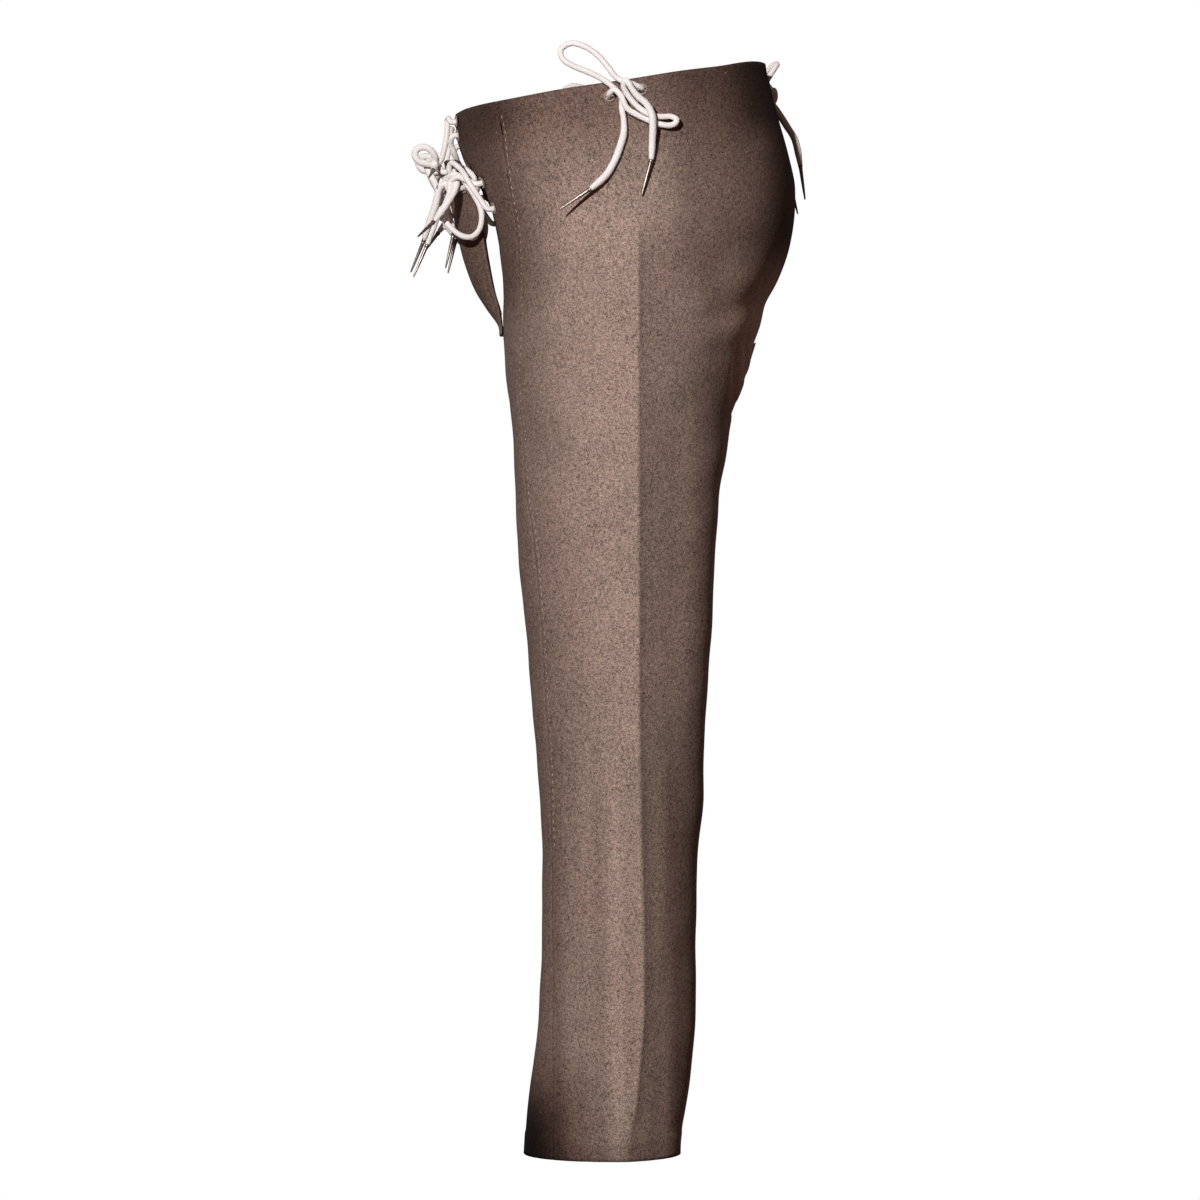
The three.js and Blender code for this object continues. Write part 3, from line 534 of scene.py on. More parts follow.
def cutter(name, eyes, with_opening):
    """What is cut from a cloth piece: a bore at each eyelet, and the front opening."""
    parts = []
    for eye in eyes:
        middle = Vector(metres(eye.p - eye.n * 2))
        turn = Vector(eye.n).to_track_quat("Z", "Y").to_euler()
        bpy.ops.mesh.primitive_cylinder_add(vertices=24, radius=0.0044, depth=0.016, location=middle, rotation=turn)
        parts.append(bpy.context.object)
    if with_opening:
        edge = [(x, z) for z, x in OPENING_EDGE] + [(-x, z) for z, x in reversed(OPENING_EDGE)]
        bm = bmesh.new()
        face = bm.faces.new([bm.verts.new(metres((x, -30, z))) for x, z in edge])
        for vert in bmesh.ops.extrude_face_region(bm, geom=[face])["geom"]:
            if isinstance(vert, bmesh.types.BMVert):
                vert.co.y -= 0.26
        bmesh.ops.recalc_face_normals(bm, faces=bm.faces)
        mesh = bpy.data.meshes.new(name)
        bm.to_mesh(mesh)
        bm.free()
        parts.append(bpy.data.objects.new(name, mesh))
        bpy.context.scene.collection.objects.link(parts[-1])
    bpy.ops.object.select_all(action="DESELECT")
    for part in parts:
        part.select_set(True)
    bpy.context.view_layer.objects.active = parts[0]
    bpy.ops.object.join()
    return parts[0]


def cut(piece, tool):
    apply_modifier(piece, "BOOLEAN", operation="DIFFERENCE", solver="MANIFOLD", object=tool)


def thicken(piece, thickness):
    apply_modifier(piece, "SOLIDIFY", thickness=thickness / 1000, offset=-1, use_even_offset=False)


leg_rows = np.linspace(0, 1, 206)
hip_rows = np.linspace(1, 2, 64)[1:]
rows = np.concatenate([leg_rows, hip_rows])
SEAM_GAP = 0.00035
seam, crease = seam_t(rows), crease_t(rows)
outer_t = np.concatenate([
    spaced_columns(seam + SEAM_GAP, crease, 44, True, True),
    spaced_columns(crease, np.full(len(rows), 1 - SEAM_GAP), 90, True, True)[:, 1:]], axis=1)
outer_z = height_at(rows[:, None] + 0 * outer_t, outer_t)
inner_columns = 52
inner_t = np.concatenate([
    spaced_columns(np.full(len(rows), 1 + SEAM_GAP), np.full(len(rows), 2.0), inner_columns, True, False),
    spaced_columns(np.full(len(rows), 2.0), 2 + seam - SEAM_GAP, 20, False, True)[:, 1:]], axis=1)
inner_z = height_at(rows[:, None] + 0 * inner_t, np.where(inner_t > 2, inner_t - 2, inner_t))
present = np.ones((len(rows) - 1, inner_t.shape[1] - 1), bool)
present[len(leg_rows) - 1:, :inner_columns] = False

tools = {}
for which, hand in enumerate(("left", "right")):
    eyes = [eye.mirror() if which else eye for eye in hose_eyes.values()]
    tools[hand] = tool = cutter(hand + "_cut", eyes, True)
    grid, run = worn_grid(outer_z, outer_t, which)
    outer = cloth_piece(hand + "_outer_wool", grid, np.stack([run, outer_z], -1) / 1000, which == 1)
    thicken(outer, WOOL)
    cut(outer, tool)
    paint_light_and_shade(outer)
    place_piece(outer, "hose", "wool", outer_wool, hand + "_outer_panel")
    grid, run = worn_grid(inner_z, inner_t, which)
    inner = cloth_piece(hand + "_inner_wool", grid, np.stack([run, inner_z], -1) / 1000, which == 1, present)
    thicken(inner, WOOL)
    cut(inner, tool)
    paint_light_and_shade(inner)
    place_piece(inner, "hose", "wool", inner_wool, hand + "_inner_panel")


# ---------------------------------------------------------------------------
# The waist facing: undyed linen, hemmed inside the top edge of the wool.
def linen_finish(name):
    material, shader, wire = finish(name, specular_ior_level=0.2)
    cloth = wire.node("UVMap", {"uv_map": "cloth"})
    place = wire.node("TexCoord", output=3)
    threads = 2 * math.pi * 1100
    warp = wire.node("Math", {"operation": "SINE"}, {0: wire.node("SeparateXYZ", None, {0: cloth}, 0) * threads})
    weft = wire.node("Math", {"operation": "SINE"}, {0: wire.node("SeparateXYZ", None, {0: cloth}, 1) * threads})
    slub = place.stretched(1, 1, 0.1).noise(400, 2.0, 0.6)
    weave = warp * weft
    tone = 0.86 + 0.06 * weave + 0.22 * slub
    base = wire.node("Mix", {"data_type": "RGBA"}, {
        0: place.noise(14, 3.0), 6: (0.56, 0.47, 0.40, 1), 7: (0.66, 0.57, 0.49, 1)}, 2)
    bump = wire.node("Bump", None, {"Strength": 0.6, "Distance": 0.0003, "Height": weave + slub})
    connect(shader, base_color=base.tinted(tone), roughness=0.8 + 0.1 * slub, normal=bump)
    return material


linen = linen_finish("linen")
facing_rows = np.linspace(1.85, 1.9975, 14)
facing_seam = seam_t(facing_rows)
facing_t = np.concatenate([
    spaced_columns(0 * facing_rows, facing_seam, 14, False, True),
    spaced_columns(facing_seam, np.full(14, 1 - 4 * SEAM_GAP), 60, True, True)[:, 1:]], axis=1)
facing_z = height_at(facing_rows[:, None] + 0 * facing_t, facing_t)
for which, (hand, tool) in enumerate(tools.items()):
    p = surface(facing_z, facing_t)
    p = p + out_of_cloth(facing_z, facing_t) * (wear(facing_z, facing_t, p, which) - WOOL - GAP)[..., None]
    run = np.cumsum(np.linalg.norm(np.diff(p, axis=1, prepend=p[:, :1]), axis=2), axis=1)
    facing = cloth_piece(hand + "_waist_linen", p, np.stack([run, facing_z], -1) / 1000, which == 1)
    thicken(facing, LINEN)
    cut(facing, tool)
    place_piece(facing, "hose", "linen", linen, hand + "_waist_facing")
    bpy.data.objects.remove(tool)


# ---------------------------------------------------------------------------
# The codpiece: a wool flap with a linen lining, held by laces at its corners.
FLAP_MID = [(797, -111.5), (806, -113), (822, -124), (842, -136), (868, -145.5), (894, -152), (932, -160),
            (968, -166), (985, -168)]
FLAP_SIDE = [(797, -110.5), (820, -112), (845, -118.5), (888, -126.5), (922, -131), (945, -140), (965, -151),
             (985, -155)]
FLAP_WIDE = [(797, 22), (820, 38), (845, 50), (888, 61), (926, 64), (965, 60), (985, 57)]


def flap_point(z, u):
    x = along(FLAP_WIDE, z) * u
    y = mix(along(FLAP_MID, z), along(FLAP_SIDE, z), np.abs(u) ** 2.2)
    return np.stack([x, y, z + 0 * x], -1)


def out_of_flap(z, u):
    a = flap_point(z, np.minimum(1, u + 0.03)) - flap_point(z, np.maximum(-1, u - 0.03))
    b = flap_point(np.minimum(z + 2, 985), u) - flap_point(np.maximum(z - 2, 797), u)
    return unit(np.cross(a, b))


def eye_on_flap(x, z):
    z = float(z)
    u = x / along(FLAP_WIDE, z)
    return Eye(flap_point(z, u), out_of_flap(z, u), LAYERS)


flap_eyes = {
    "flap_top": eye_on_flap(32, 957),
    "flap_corner": eye_on_flap(48, 956),
    "flap_low": eye_on_flap(53, 939),
}
tool = cutter("flap_cut", [e for eye in flap_eyes.values() for e in (eye, eye.mirror())], False)
for name, low, wide, top, inset, thickness, body_slot, material, node in (
        ("codpiece_wool", 797, 1, 968, 0, WOOL, "wool", inner_wool, "codpiece_flap"),
        ("codpiece_linen", 818, 0.965, 967.4, WOOL + GAP, LINEN, "linen", linen, "codpiece_lining")):
    u = np.linspace(-wide, wide, 61)[None, :] + np.zeros((90, 1))
    z = np.linspace(low, top, 90)[:, None] + 0 * u
    z = z - np.where(z > 965, 5 * np.abs(u) ** 4, 0) * smooth(955, 966, z)
    p = flap_point(z, u)
    rim = np.minimum((1 - np.abs(u)) * along(FLAP_WIDE, z), 968 - z)
    lift = -0.5 * np.exp(-((u * 60 / 1.6) ** 2)) - 0.5 * np.exp(-(((rim - 6) / 1.6) ** 2))
    lift = lift + 0.6 * np.sin(z / 34 + u * 3) * smooth(0, 20, rim)
    p = p + out_of_flap(z, u) * (lift - inset)[..., None]
    flap = cloth_piece(name, p, np.stack([p[..., 0], z], -1) / 1000)
    thicken(flap, thickness)
    cut(flap, tool)
    paint_light_and_shade(flap)
    place_piece(flap, "codpiece", body_slot, material, node)
bpy.data.objects.remove(tool)


# ---------------------------------------------------------------------------
# The seam stitching: a line of small pale stitches down the front of each
# leg, just behind the seam, taken through the turned allowance.
def thread_finish(name, dark, pale):
    material, shader, wire = finish(name, specular_ior_level=0.25)
    twist = wire.node("TexCoord", output=3).noise(900, 2.0, 0.6)
    base = wire.node("Mix", {"data_type": "RGBA"}, {0: twist, 6: dark, 7: pale}, 2)
    bump = wire.node("Bump", None, {"Strength": 0.5, "Distance": 0.0002, "Height": twist})
    connect(shader, base_color=base, roughness=0.7 + 0.2 * twist, normal=bump)
    return material


pale_thread = thread_finish("stitch thread", (0.34, 0.26, 0.22, 1), (0.52, 0.42, 0.36, 1))


def stitches_piece(name, starts, ends, out, radius=0.38, around=6, along_count=6):
    """A grain-shaped stitch of thread between each start and end, standing a little proud."""
    u = np.linspace(0, 1, along_count)
    fat = radius * np.sqrt(np.maximum(0, 1 - (2 * u - 1) ** 4)) + 0.02
    a = np.arange(around) / around * 2 * math.pi
    way = unit(ends - starts)
    side = unit(np.cross(way, out))
    middle = starts[:, None] + (ends - starts)[:, None] * u[None, :, None]
    middle = middle + out[:, None] * (radius * 0.35 * np.sin(u * math.pi) - radius * 0.3)[None, :, None]
    ring_way = np.cos(a)[:, None] * side[:, None, None] + np.sin(a)[:, None] * out[:, None, None]
    points = middle[:, :, None] + ring_way * fat[None, :, None, None]
    count = len(starts)
    index = np.arange(count * along_count * around).reshape(count, along_count, around)
    on = np.roll(index, -1, axis=2)
    sides = np.stack([index[:, :-1], on[:, :-1], on[:, 1:], index[:, 1:]], -1).reshape(-1, 4)
    mesh = bpy.data.meshes.new(name)
    caps = [tuple(c) for c in index[:, 0, ::-1]] + [tuple(c) for c in index[:, -1]]
    mesh.from_pydata(metres(points.reshape(-1, 3)).tolist(), [], sides.tolist() + caps)
    mesh.shade_smooth()
    piece = bpy.data.objects.new(name, mesh)
    bpy.context.scene.collection.objects.link(piece)
    return piece


stitch_z = np.concatenate([np.arange(300, 792, 7.5), np.arange(812, 1004, 7.5)])
for which, hand in enumerate(("left", "right")):
    flip = np.array([-1, 1, 1]) if which else np.array([1, 1, 1])
    lengths = 3.4 + 1.2 * np.sin(stitch_z * 1.7 + which)
    ends = []
    for z in (stitch_z - lengths / 2, stitch_z + lengths / 2):
        t = t_at_y(z, along(SEAM_Y, z) + 3.2 + 0.3 * np.sin(z * 0.9))
        p = surface(z, t)
        ends.append(p + out_of_cloth(z, t) * wear(z, t, p, which)[:, None])
    out = out_of_cloth(stitch_z, t)
    seam_line = stitches_piece(hand + "_seam_stitches", ends[0] * flip, ends[1] * flip, out * flip)
    place_piece(seam_line, "hose", "eyelet_thread", pale_thread)


# ---------------------------------------------------------------------------
# The eyelets: holes worked round with waxed linen thread, close and even.
thread = thread_finish("eyelet thread", (0.26, 0.19, 0.16, 1), (0.38, 0.30, 0.25, 1))
STITCHES = 26


def worked_eyelet(name, eye, mirrored):
    depth = eye.stack
    profile = np.array([
        (3.9, 0.2), (3.75, 0.9), (4.2, 1.35), (4.9, 1.5), (5.5, 1.2), (5.75, 0.6), (5.4, 0.45), (4.35, 0.45),
        (4.3, -depth - 1.05), (5.3, -depth - 1.1), (5.55, -depth - 1.4), (5.2, -depth - 1.75),
        (3.9, -depth - 1.75), (3.75, -depth - 1.2)])
    around = np.arange(STITCHES * 4) / (STITCHES * 4) * 2 * math.pi
    ridge = 0.5 - 0.5 * np.cos(around * STITCHES)
    radius = profile[None, :, 0] + ridge[:, None] * 0.22 * (profile[None, :, 0] > 4.6)
    level = profile[None, :, 1]
    on_a_face = np.abs(level + depth / 2) > depth / 2 + 0.6
    height = level + ridge[:, None] * np.sign(level) * 0.22 * on_a_face
    height = height + eye.lift * (profile[None, :, 1] > 0)
    side = unit(np.cross(eye.n, [0, 0, 1]))
    up = np.cross(side, eye.n)
    points = (eye.p + radius[..., None] * (np.cos(around)[:, None, None] * side + np.sin(around)[:, None, None] * up)
              + height[..., None] * eye.n)
    count, across = points.shape[:2]
    index = np.arange(count * across).reshape(count, across)
    on = np.roll(index, -1, axis=0)
    faces = np.stack([index, np.roll(index, -1, axis=1), np.roll(on, -1, axis=1), on], -1).reshape(-1, 4)
    flat = metres(points.reshape(-1, 3))
    if mirrored:
        flat[:, 0] *= -1
        faces = faces[:, ::-1]
    piece = mesh_piece(name, flat, faces)
    bm = bmesh.new()
    bm.from_mesh(piece.data)
    bmesh.ops.recalc_face_normals(bm, faces=bm.faces)
    bm.to_mesh(piece.data)
    bm.free()
    return piece


for body, eyes in (("hose", hose_eyes), ("codpiece", flap_eyes)):
    for name, eye in eyes.items():
        for which, hand in enumerate(("left", "right")):
            worked = worked_eyelet("worked_" + name + "_" + hand, eye, which == 1)
            place_piece(worked, body, "eyelet_thread", thread, "eyelet_" + name + "_" + hand)


# ---------------------------------------------------------------------------
# The laces: soft white braided cord, tied in a bow through each pair of
# eyelets. Each run is listed from one tipped end to the other, then spaced
# evenly and eased apart wherever it would meet itself or the cloth.
CORD = 5.6
all_eyes = [e for eye in [*hose_eyes.values(), *flap_eyes.values()] for e in (eye, eye.mirror())]


def spline(points, count, divisions=1500):
    """Evenly spaced points on a smooth curve through the given ones."""
    points = np.asarray(points, float)
    padded = np.concatenate([[2 * points[0] - points[1]], points, [2 * points[-1] - points[-2]]])
    at = np.linspace(0, len(points) - 1, divisions + 1)

    def curve(at):
        i = np.minimum(at.astype(int), len(points) - 2)
        w = (at - i)[:, None]
        p0, p1, p2, p3 = (padded[i + k] for k in range(4))
        d0, d1, d2 = (np.sqrt(np.linalg.norm(b - a, axis=1))[:, None] for a, b in ((p0, p1), (p1, p2), (p2, p3)))
        d0, d2 = np.maximum(d0, 1e-4), np.maximum(d2, 1e-4)
        m1 = ((p1 - p0) / d0 - (p2 - p0) / (d0 + d1) + (p2 - p1) / d1) * d1
        m2 = ((p2 - p1) / d1 - (p3 - p1) / (d1 + d2) + (p3 - p2) / d2) * d1
        return p1 + m1 * w + (3 * (p2 - p1) - 2 * m1 - m2) * w**2 + (2 * (p1 - p2) + m1 + m2) * w**3

    walked = np.concatenate([[0], np.cumsum(np.linalg.norm(np.diff(curve(at), axis=0), axis=1))])
    if count is None:
        return walked[-1]
    return curve(np.interp(np.linspace(0, walked[-1], count + 1), walked, at))


def clear_of_cloth(p):
    push = np.zeros_like(p)
    reach, stack = CORD / 2 + 0.6, 4
    done = np.zeros(len(p), bool)
    for eye in all_eyes:
        v = p - eye.p
        h = v @ eye.n
        v = v - h[:, None] * eye.n
        off = np.linalg.norm(v, axis=1)
        near = (off <= 9) & (np.abs(h) <= 9) & ~done
        outside = near & (off > 3) & (h > -1) & (h < 5)
        push[outside] += eye.n * ((5 - h[outside]) * 0.6)[:, None]
        within = near & ~outside & (h < 2.4) & (h > -eye.stack - 2.4) & (off < 7)
        push[within] -= 0.6 * v[within]
        done |= near
    x, y, z = np.abs(p[:, 0]), p[:, 1], p[:, 2]
    t = np.where((y < -80) & (x < 145), on_pelvis(x, z), np.where((y > 120) & (x < 115), on_back(x, z), t_at_y(z, y)))
    s, n = surface(z, t), out_of_cloth(z, t)
    sign = np.where(p[:, :1] < 0, [[-1, 1, 1]], [[1, 1, 1]])
    s, n = s * sign, n * sign
    open_half = np.where(z > 950, mix(62, 42, smooth(950, 1000, z)), 78)
    front = (y < -80) & (x < open_half)
    wide = along(FLAP_WIDE, z)
    u = np.clip(p[:, 0] / wide, -1, 1)
    flap_s, flap_n = flap_point(z, u), out_of_flap(z, u)
    on_flap = (y < -80) & (z <= 966) & (z >= 800) & (x <= wide + 1)
    for there, s, n in ((~front & (z <= waist_at(t) - 1), s, n), (on_flap, flap_s, flap_n)):
        d = np.sum((p - s) * n, axis=1)
        over = there & ~done & (d > -stack / 2) & (d < reach)
        push[over] += n[over] * ((reach - d[over]) * 0.6)[:, None]
        under = there & ~done & (d <= -stack / 2) & (d > -stack - 1 - reach)
        push[under] -= n[under] * ((d[under] + stack + 1 + reach) * 0.6)[:, None]
    return push


laid = []


def settle(points):
    count = int(math.floor(spline(points, None) / 4.2 + 0.5))
    base = spline(points, count)
    shift = np.zeros_like(base)
    apart = CORD + 0.4
    near = math.ceil(apart * 1.75 / (spline(points, None) / count))
    others = np.concatenate(laid) if laid else np.zeros((0, 3))
    still = np.any([np.linalg.norm(eye.p - base, axis=1) < 6 for eye in all_eyes], axis=0)
    number = np.arange(count + 1)
    far_apart = np.abs(number[:, None] - number[None, :]) >= near
    for turn in range(160):
        now = base + shift
        d = now[:, None] - now[None, :]
        gap = np.linalg.norm(d, axis=2) + 1e-12
        force = np.where(far_apart & (gap < apart) & (gap > 1e-6), (apart - gap) * 0.35 / gap, 0)
        push = np.sum(d * force[..., None], axis=1)
        if len(others):
            d = now[:, None] - others[None, :]
            gap = np.linalg.norm(d, axis=2) + 1e-12
            force = np.where((gap < apart + 0.5) & (gap > 1e-6), (apart + 0.5 - gap) * 0.5 / gap, 0)
            push += np.sum(d * force[..., None], axis=1)
        if turn % 2 == 0:
            push += clear_of_cloth(now)
        before = np.concatenate([shift[:1], shift[:-1]])
        after = np.concatenate([shift[1:], shift[-1:]])
        shift = shift * 0.7 + before * 0.15 + after * 0.15 + push
        shift[still] *= 0.3
    laid.append(base + shift)
    return base + shift


def cord_piece(name, line, sides=16, step=1.4):
    """A round cord along a line, closed at its ends, with u round it and v along it."""
    path = spline(line, int(spline(line, None) / step))
    tangent = unit(np.gradient(path, axis=0))
    side = unit(np.cross(tangent[0], [0.3, 0.2, 1]))
    frames = []
    for way in tangent:
        side = unit(side - way * np.dot(side, way))
        frames.append((side, np.cross(way, side)))
    frames = np.array(frames)
    angle = np.arange(sides) / sides * 2 * math.pi
    walked = np.concatenate([[0], np.cumsum(np.linalg.norm(np.diff(path, axis=0), axis=1))])
    to_tip = np.minimum(walked, walked[-1] - walked)
    fuller = 1 + 0.24 * smooth(4, 12, to_tip) * (1 - smooth(55, 85, to_tip))
    fuller = fuller + 0.025 * np.sin(walked / 7) + 0.02 * np.sin(walked / 3.1)
    radius = CORD / 2 * fuller * mix(0.86, 1, smooth(0, 4, to_tip))
    around = (np.cos(angle)[None, :, None] * frames[:, 0][:, None]
              + np.sin(angle)[None, :, None] * frames[:, 1][:, None])
    points = path[:, None] + radius[:, None, None] * around
    count = len(path)
    index = np.arange(count * sides).reshape(count, sides)
    turned = np.roll(index, -1, axis=1)
    faces = np.stack([index[:-1], turned[:-1], turned[1:], index[1:]], -1).reshape(-1, 4).tolist()
    faces.append(index[0][::-1].tolist())
    faces.append(index[-1].tolist())
    mesh = bpy.data.meshes.new(name)
    mesh.from_pydata(metres(points.reshape(-1, 3)).tolist(), [], faces)
    layer = mesh.uv_layers.new(name="braid")
    loops = np.zeros(len(mesh.loops), np.int32)
    mesh.loops.foreach_get("vertex_index", loops)
    u, v = (loops % sides) / sides, walked[loops // sides] / 1000
    corner = np.arange(len(loops)) % 4
    wrap = (loops % sides == 0) & ((corner == 1) | (corner == 2))
    layer.data.foreach_set("uv", np.stack([u + wrap, v], -1).astype(np.float32).ravel())
    mesh.shade_smooth()
    piece = bpy.data.objects.new(name, mesh)
    bpy.context.scene.collection.objects.link(piece)
    return piece, metres(path)


def lace_finish(name):
    material, shader, wire = finish(name, specular_ior_level=0.25)
    braid = wire.node("UVMap", {"uv_map": "braid"})
    around = wire.node("SeparateXYZ", None, {0: braid}, 0)
    along_cord = wire.node("SeparateXYZ", None, {0: braid}, 1)
    place = wire.node("TexCoord", output=3)

    def strand(lean):
        turn = (around * 6 + along_cord * (lean / 0.0075)) * (2 * math.pi)
        return wire.node("Math", {"operation": "SINE"}, {0: turn})

    plait = wire.node("Math", {"operation": "MAXIMUM"}, {0: strand(1), 1: strand(-1)})
    fluff = place.noise(1300, 2.0, 0.6)
    soil = place.noise(45, 3.0, 0.6).clipped(0.35, 0.8)
    base = wire.node("Mix", {"data_type": "RGBA"}, {0: soil, 6: (0.93, 0.88, 0.86, 1), 7: (0.84, 0.76, 0.73, 1)}, 2)
    tone = 0.9 + 0.06 * plait + 0.1 * fluff
    bump = wire.node("Bump", None, {"Strength": 0.35, "Distance": 0.0004, "Height": plait + fluff * 0.6})
    connect(shader, base_color=base.tinted(tone), roughness=0.82 + 0.1 * fluff, normal=bump)
    return material


lace_cord = lace_finish("lace cord")


class Bow:
    """A bow's own directions: across the pair of eyelets, up, and out of the cloth."""

    def __init__(self, a, b):
        self.o = (a.p + b.p) / 2
        self.n = unit(a.n + b.n)
        up = np.array([0.0, 0, 1])
        self.u = unit(up - self.n * up.dot(self.n))
        across = b.p - a.p
        self.t = unit(across - self.n * across.dot(self.n) - self.u * across.dot(self.u))

    def at(self, a, b, c):
        return self.o + self.t * a + self.u * b + self.n * c


front_eye, rear_eye, back_eye = hose_eyes["side_front"], hose_eyes["side_back"], hose_eyes["back"]
bow = Bow(front_eye, rear_eye)
SIDE_FIRST = [
    (-29, -97, 5), (-23, -92, 4.5), (-14, -83, 4.5), (-6, -69, 4.5), (-1, -55, 4.5), (2, -44, 4.5), (2, -30, 4.5),
    (0, -18, 4.5), (0, -9, 4.4), (-6, -1, 5), (-16, 7, 7), (-31, 15, 8), (-46, 21, 9), (-56, 28, 9), (-58, 37, 9),
    (-49, 43, 9.5), (-36, 40, 10.5), (-23, 31, 11.5), (-12, 18, 12), (-5, 9, 12.5), (2, 5, 13.5), (10, 3, 11)]
SIDE_LAST = [
    (-7, -3, 13), (-1, -8, 13.5), (5, -20, 11), (16, -27, 8), (27, -31.5, 5), (38, -35, 4.5), (48, -35.5, 4.5),
    (53, -31.5, 4.5), (48, -27.5, 4.5), (36, -27.5, 5), (24, -24.5, 7.5), (14, -17.5, 10), (6, -8, 13), (2, 0, 17.5),
    (5, 4, 21), (9, -2, 21), (15, -10, 19), (24, -18, 17), (29, -27, 15), (30, -38, 12), (29.5, -50, 8),
    (29, -60, 6), (28.5, -69, 5.2)]
side_run = ([bow.at(a - 3.5, b + 3, c) for a, b, c in SIDE_FIRST] + rear_eye.through(6)
            + [bow.at(7, 0, -11), bow.at(-7, 0, -11)] + front_eye.through(6)[::-1]
            + [bow.at(a - 3.5, b + 3, c) for a, b, c in SIDE_LAST])
side_tips = (bow.at(-21, -14, -0.5) - bow.o, bow.at(-9, -34, -1) - bow.o)

mate = back_eye.mirror()
bow = Bow(mate, back_eye)
BACK_FIRST = [
    (12, -84, 23), (12, -72, 24), (12, -58, 24), (11, -44, 20), (10, -30, 16), (9, -18, 12), (6, -8, 8), (1, -2, 6),
    (-4, 6, 7), (-2, 12, 12), (4, 18, 21), (10, 18, 26), (14, 11, 19), (11, 4, 12), (4, 1, 12), (-4, -1, 12), (-10, -2, 10)]
BACK_LAST = [
    (9, -4, 9), (3, -8, 10), (-5, -10, 9), (-16, -10, 8.5), (-30, -9, 11), (-43, -7, 15), (-53, -3, 17), (-54, 3, 17),
    (-46, 4, 15), (-33, 0, 12), (-20, -3, 11), (-9, -5, 14), (0, -5, 16.5), (1, -12, 16), (-6, -18, 12),
    (-17, -22, 10), (-31, -28, 9), (-43, -37, 10), (-52, -48, 11), (-59, -62, 12), (-63, -76, 12), (-65, -90, 12)]
back_run = ([bow.at(*p) for p in BACK_FIRST] + mate.through(5) + [bow.at(-6, 0, -11), bow.at(6, 0, -11)]
            + back_eye.through(5)[::-1] + [bow.at(*p) for p in BACK_LAST])
back_tips = (np.array([0, 0.14, -1]), None)

waist_upper, waist_lower = hose_eyes["waist_upper"], hose_eyes["waist_lower"]
edge_upper, edge_lower = hose_eyes["edge_upper"], hose_eyes["edge_lower"]
flap_top, flap_corner, flap_low = flap_eyes["flap_top"], flap_eyes["flap_corner"], flap_eyes["flap_low"]
upper_run = [
    (51, -177.5, 956), (47, -177, 957), (41, -176.5, 960), (39.5, -176, 966), (44, -175.5, 971), (47, -180, 977),
    (47, -187, 979), (46, -193, 974), (45, -190, 966.5), (43, -181, 963), (37, -172, 963), (39.5, -166.5, 968),
    (42.5, -164.5, 975), (45, -162.5, 985), (47, -161, 998), (48.5, -160.8, 1008), *waist_upper.through(6),
    (52.2, -138, 996.5), *waist_lower.through(6)[::-1], (50, -157.6, 981), (46, -154.5, 973.5), (39, -152, 967),
    *flap_top.through(6)[::-1], (30.5, -171, 963), (32, -177, 967.5), (36, -181, 964), (36.5, -179.5, 956),
    (36, -174, 946), (35.5, -168, 930), (35, -161, 912), (36, -155, 897)]
upper_tips = (np.array([32, -3, -10]), np.array([0, -8, -34]))
lower_run = [
    (62, -173, 906), (63.5, -166.5, 915), (65, -160, 925), (64.5, -154.5, 935), (61, -152, 943), (54, -151.5, 950),
    (47, -161.5, 950), (43.5, -165.5, 943), (42, -170, 932), (42.5, -169.5, 920), (47, -163.5, 907.5), (54, -155, 897),
    (62, -145.5, 890.5), (68, -137, 889.5), (72, -130, 895), (74, -127, 905.5), (74, -128, 916), (71.5, -134, 928),
    (66, -142.5, 939.5), (62, -149, 947), (57, -157.5, 948.5), (51, -161, 944), (51, -157, 939.5),
    *flap_low.through(6, 4.8), (50.5, -134.5, 947.5), *flap_corner.through(6, 4.8)[::-1], (55.5, -157, 962),
    (64.5, -147, 954.5), (76, -137, 939), (85, -128, 925), *edge_lower.through(6), (80.5, -112, 929),
    *edge_upper.through(5)[::-1], (72, -140, 945), (65, -149, 949), (60, -156, 944), (62, -157, 934), (62, -161, 924),
    (60, -165, 914), (55, -166, 908), (50.5, -163.5, 913), (51, -160, 924), (53, -158, 934), (55.5, -162, 943),
    (53, -168, 939), (48, -172, 925), (43, -177, 911), (39, -182, 897), (37, -184, 890)]
lower_tips = (np.array([27, -14.5, -16.5]), np.array([-4, -14, -33.5]))


# ---------------------------------------------------------------------------
# The aglets: sheet brass cones, pinched round the lace ends.
AGLET = 35


def metal_finish(name):
    material, shader, wire = finish(name, metallic=1.0)
    place = wire.node("TexCoord", output=3)
    scratch = place.stretched(1, 1, 0.25).noise(900, 2.0, 0.6)
    dull = place.noise(160, 3.0, 0.6)
    base = wire.node("Mix", {"data_type": "RGBA"}, {0: dull, 6: (0.24, 0.20, 0.17, 1), 7: (0.42, 0.37, 0.33, 1)}, 2)
    bump = wire.node("Bump", None, {"Strength": 0.25, "Distance": 0.0002, "Height": scratch})
    connect(shader, base_color=base, roughness=0.28 + 0.25 * scratch, normal=bump)
    return material


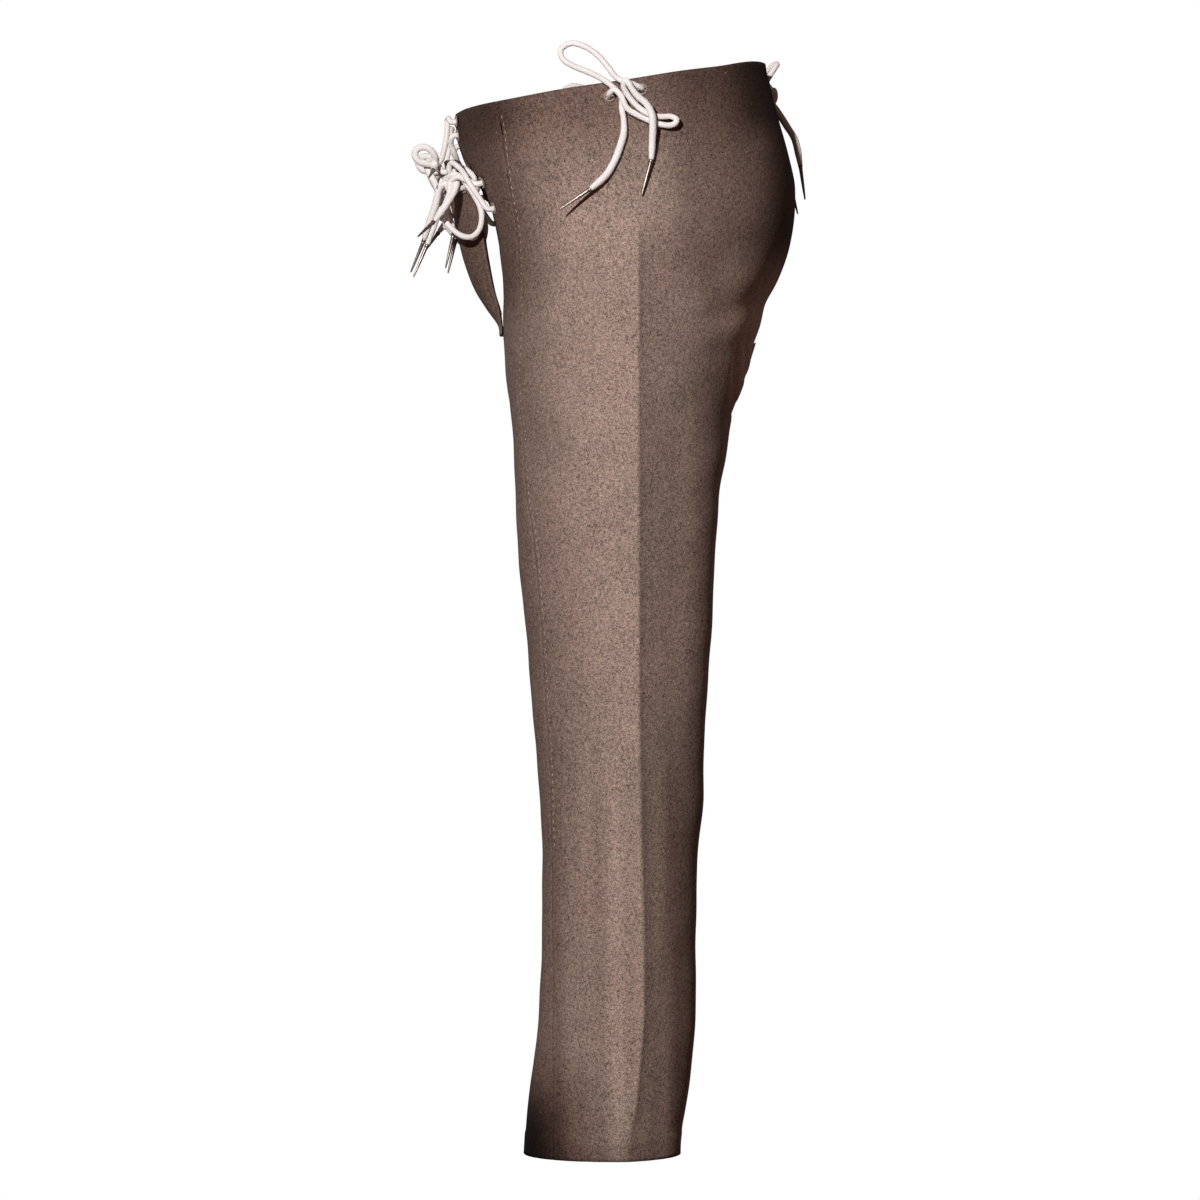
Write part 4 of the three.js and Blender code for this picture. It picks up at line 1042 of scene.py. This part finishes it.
aglet_metal = metal_finish("aglet metal")
bpy.ops.object.select_all(action="DESELECT")
bpy.ops.mesh.primitive_cylinder_add(vertices=32, radius=0.00235, depth=0.0004, location=(0, 0, 0.0002))
pattern = bpy.context.object
bpy.ops.object.transform_apply(location=True, rotation=False, scale=False)
bpy.ops.object.mode_set(mode="EDIT")
bpy.ops.mesh.select_mode(type="FACE")
bpy.ops.mesh.select_all(action="DESELECT")
shape = bmesh.from_edit_mesh(pattern.data)
for face in shape.faces:
    face.select_set(face.calc_center_median().z > 0.00035 and face.normal.z > 0.9)
bmesh.update_edit_mesh(pattern.data)
width, height = 2.35, 0.4
for next_width, next_height in (
        (2.42, 0.9), (2.35, 1.9), (1.98, 2.3), (1.93, 3.0), (2.05, 3.4), (2.0, 4.0), (1.85, 4.6), (1.5, AGLET * 0.5),
        (1.15, AGLET * 0.78), (0.8, AGLET - 1.2), (0.62, AGLET - 0.5), (0.3, AGLET)):
    bpy.ops.mesh.extrude_region_move(TRANSFORM_OT_translate={"value": (0, 0, (next_height - height) / 1000)})
    grow = next_width / width
    bpy.ops.transform.resize(value=(grow, grow, 1), center_override=(0, 0, next_height / 1000))
    width, height = next_width, next_height
bpy.ops.object.mode_set(mode="OBJECT")
bpy.ops.object.shade_smooth_by_angle(angle=math.radians(50))


def aglet(name, start, way, lean):
    piece = bpy.data.objects.new(name, pattern.data.copy())
    turn = Vector((0, 0, 1)).rotation_difference(Vector(way)).to_matrix().to_4x4()
    place = Matrix.Translation(Vector(metres(start + way * (0.25 + 2.6 * lean)))) @ turn
    piece.data.transform(place)
    bpy.context.scene.collection.objects.link(piece)
    return piece


FLIP = np.array([-1, 1, 1])
for lace, run, tips, hands in (
        ("side", side_run, side_tips, ("left", "right")), ("back", back_run, back_tips, ("",)),
        ("front_upper", upper_run, upper_tips, ("left", "right")),
        ("front_lower", lower_run, lower_tips, ("left", "right"))):
    line = settle(run)
    ways = [unit(line[0] - line[1]), unit(line[-1] - line[-2])]
    leans = [0.0, 0.0]
    for i, tip in enumerate(tips):
        if tip is not None:
            to = unit(tip)
            leans[i] = float(np.linalg.norm(np.cross(to, ways[i])))
            ways[i] = to
    for hand in hands:
        flip = FLIP if hand == "right" else 1
        full = lace + ("_" + hand if hand else "")
        cord, cord_path = cord_piece("cord_" + full, line * flip)
        tipped = [aglet("tip_" + full + "_" + end, line[at] * flip, ways[i] * flip, leans[i])
                  for i, (end, at) in enumerate((("a", 0), ("b", -1)))]
        body = {"side": "side_bow_" + hand, "back": "back_bow"}.get(lace, "codpiece")
        for tip, end in zip(tipped, "ab"):
            place_piece(tip, body, "aglet", aglet_metal, "aglet_" + full + "_" + end)
        cord.data.materials.append(lace_cord)
        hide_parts("lace_" + full)
        if body == "codpiece":
            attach(cord, body)
        else:
            top = cord_path[:, 2].max()
            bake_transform(cord)
        measured = spline(line, None) / 1000
bpy.data.objects.remove(pattern)


# ---------------------------------------------------------------------------
# The ground, a hand's breadth below the hems, where the wearer stands.
bpy.ops.object.select_all(action="DESELECT")
bpy.ops.mesh.primitive_plane_add(size=60, location=(0, 0, -1.13))
ground = bpy.context.object
ground.name = "ground"
pale = bpy.data.materials.new("pale ground")
pale.use_nodes = True
shader = pale.node_tree.nodes["Principled BSDF"]
shader.inputs["Base Color"].default_value = (0.0, 0.0, 0.0, 1)
shader.inputs["Specular IOR Level"].default_value = 0
shader.inputs["Emission Color"].default_value = (1, 1, 1, 1)
shader.inputs["Emission Strength"].default_value = 1.0
ground.data.materials.append(pale)
ground.visible_diffuse = False
ground.visible_glossy = False
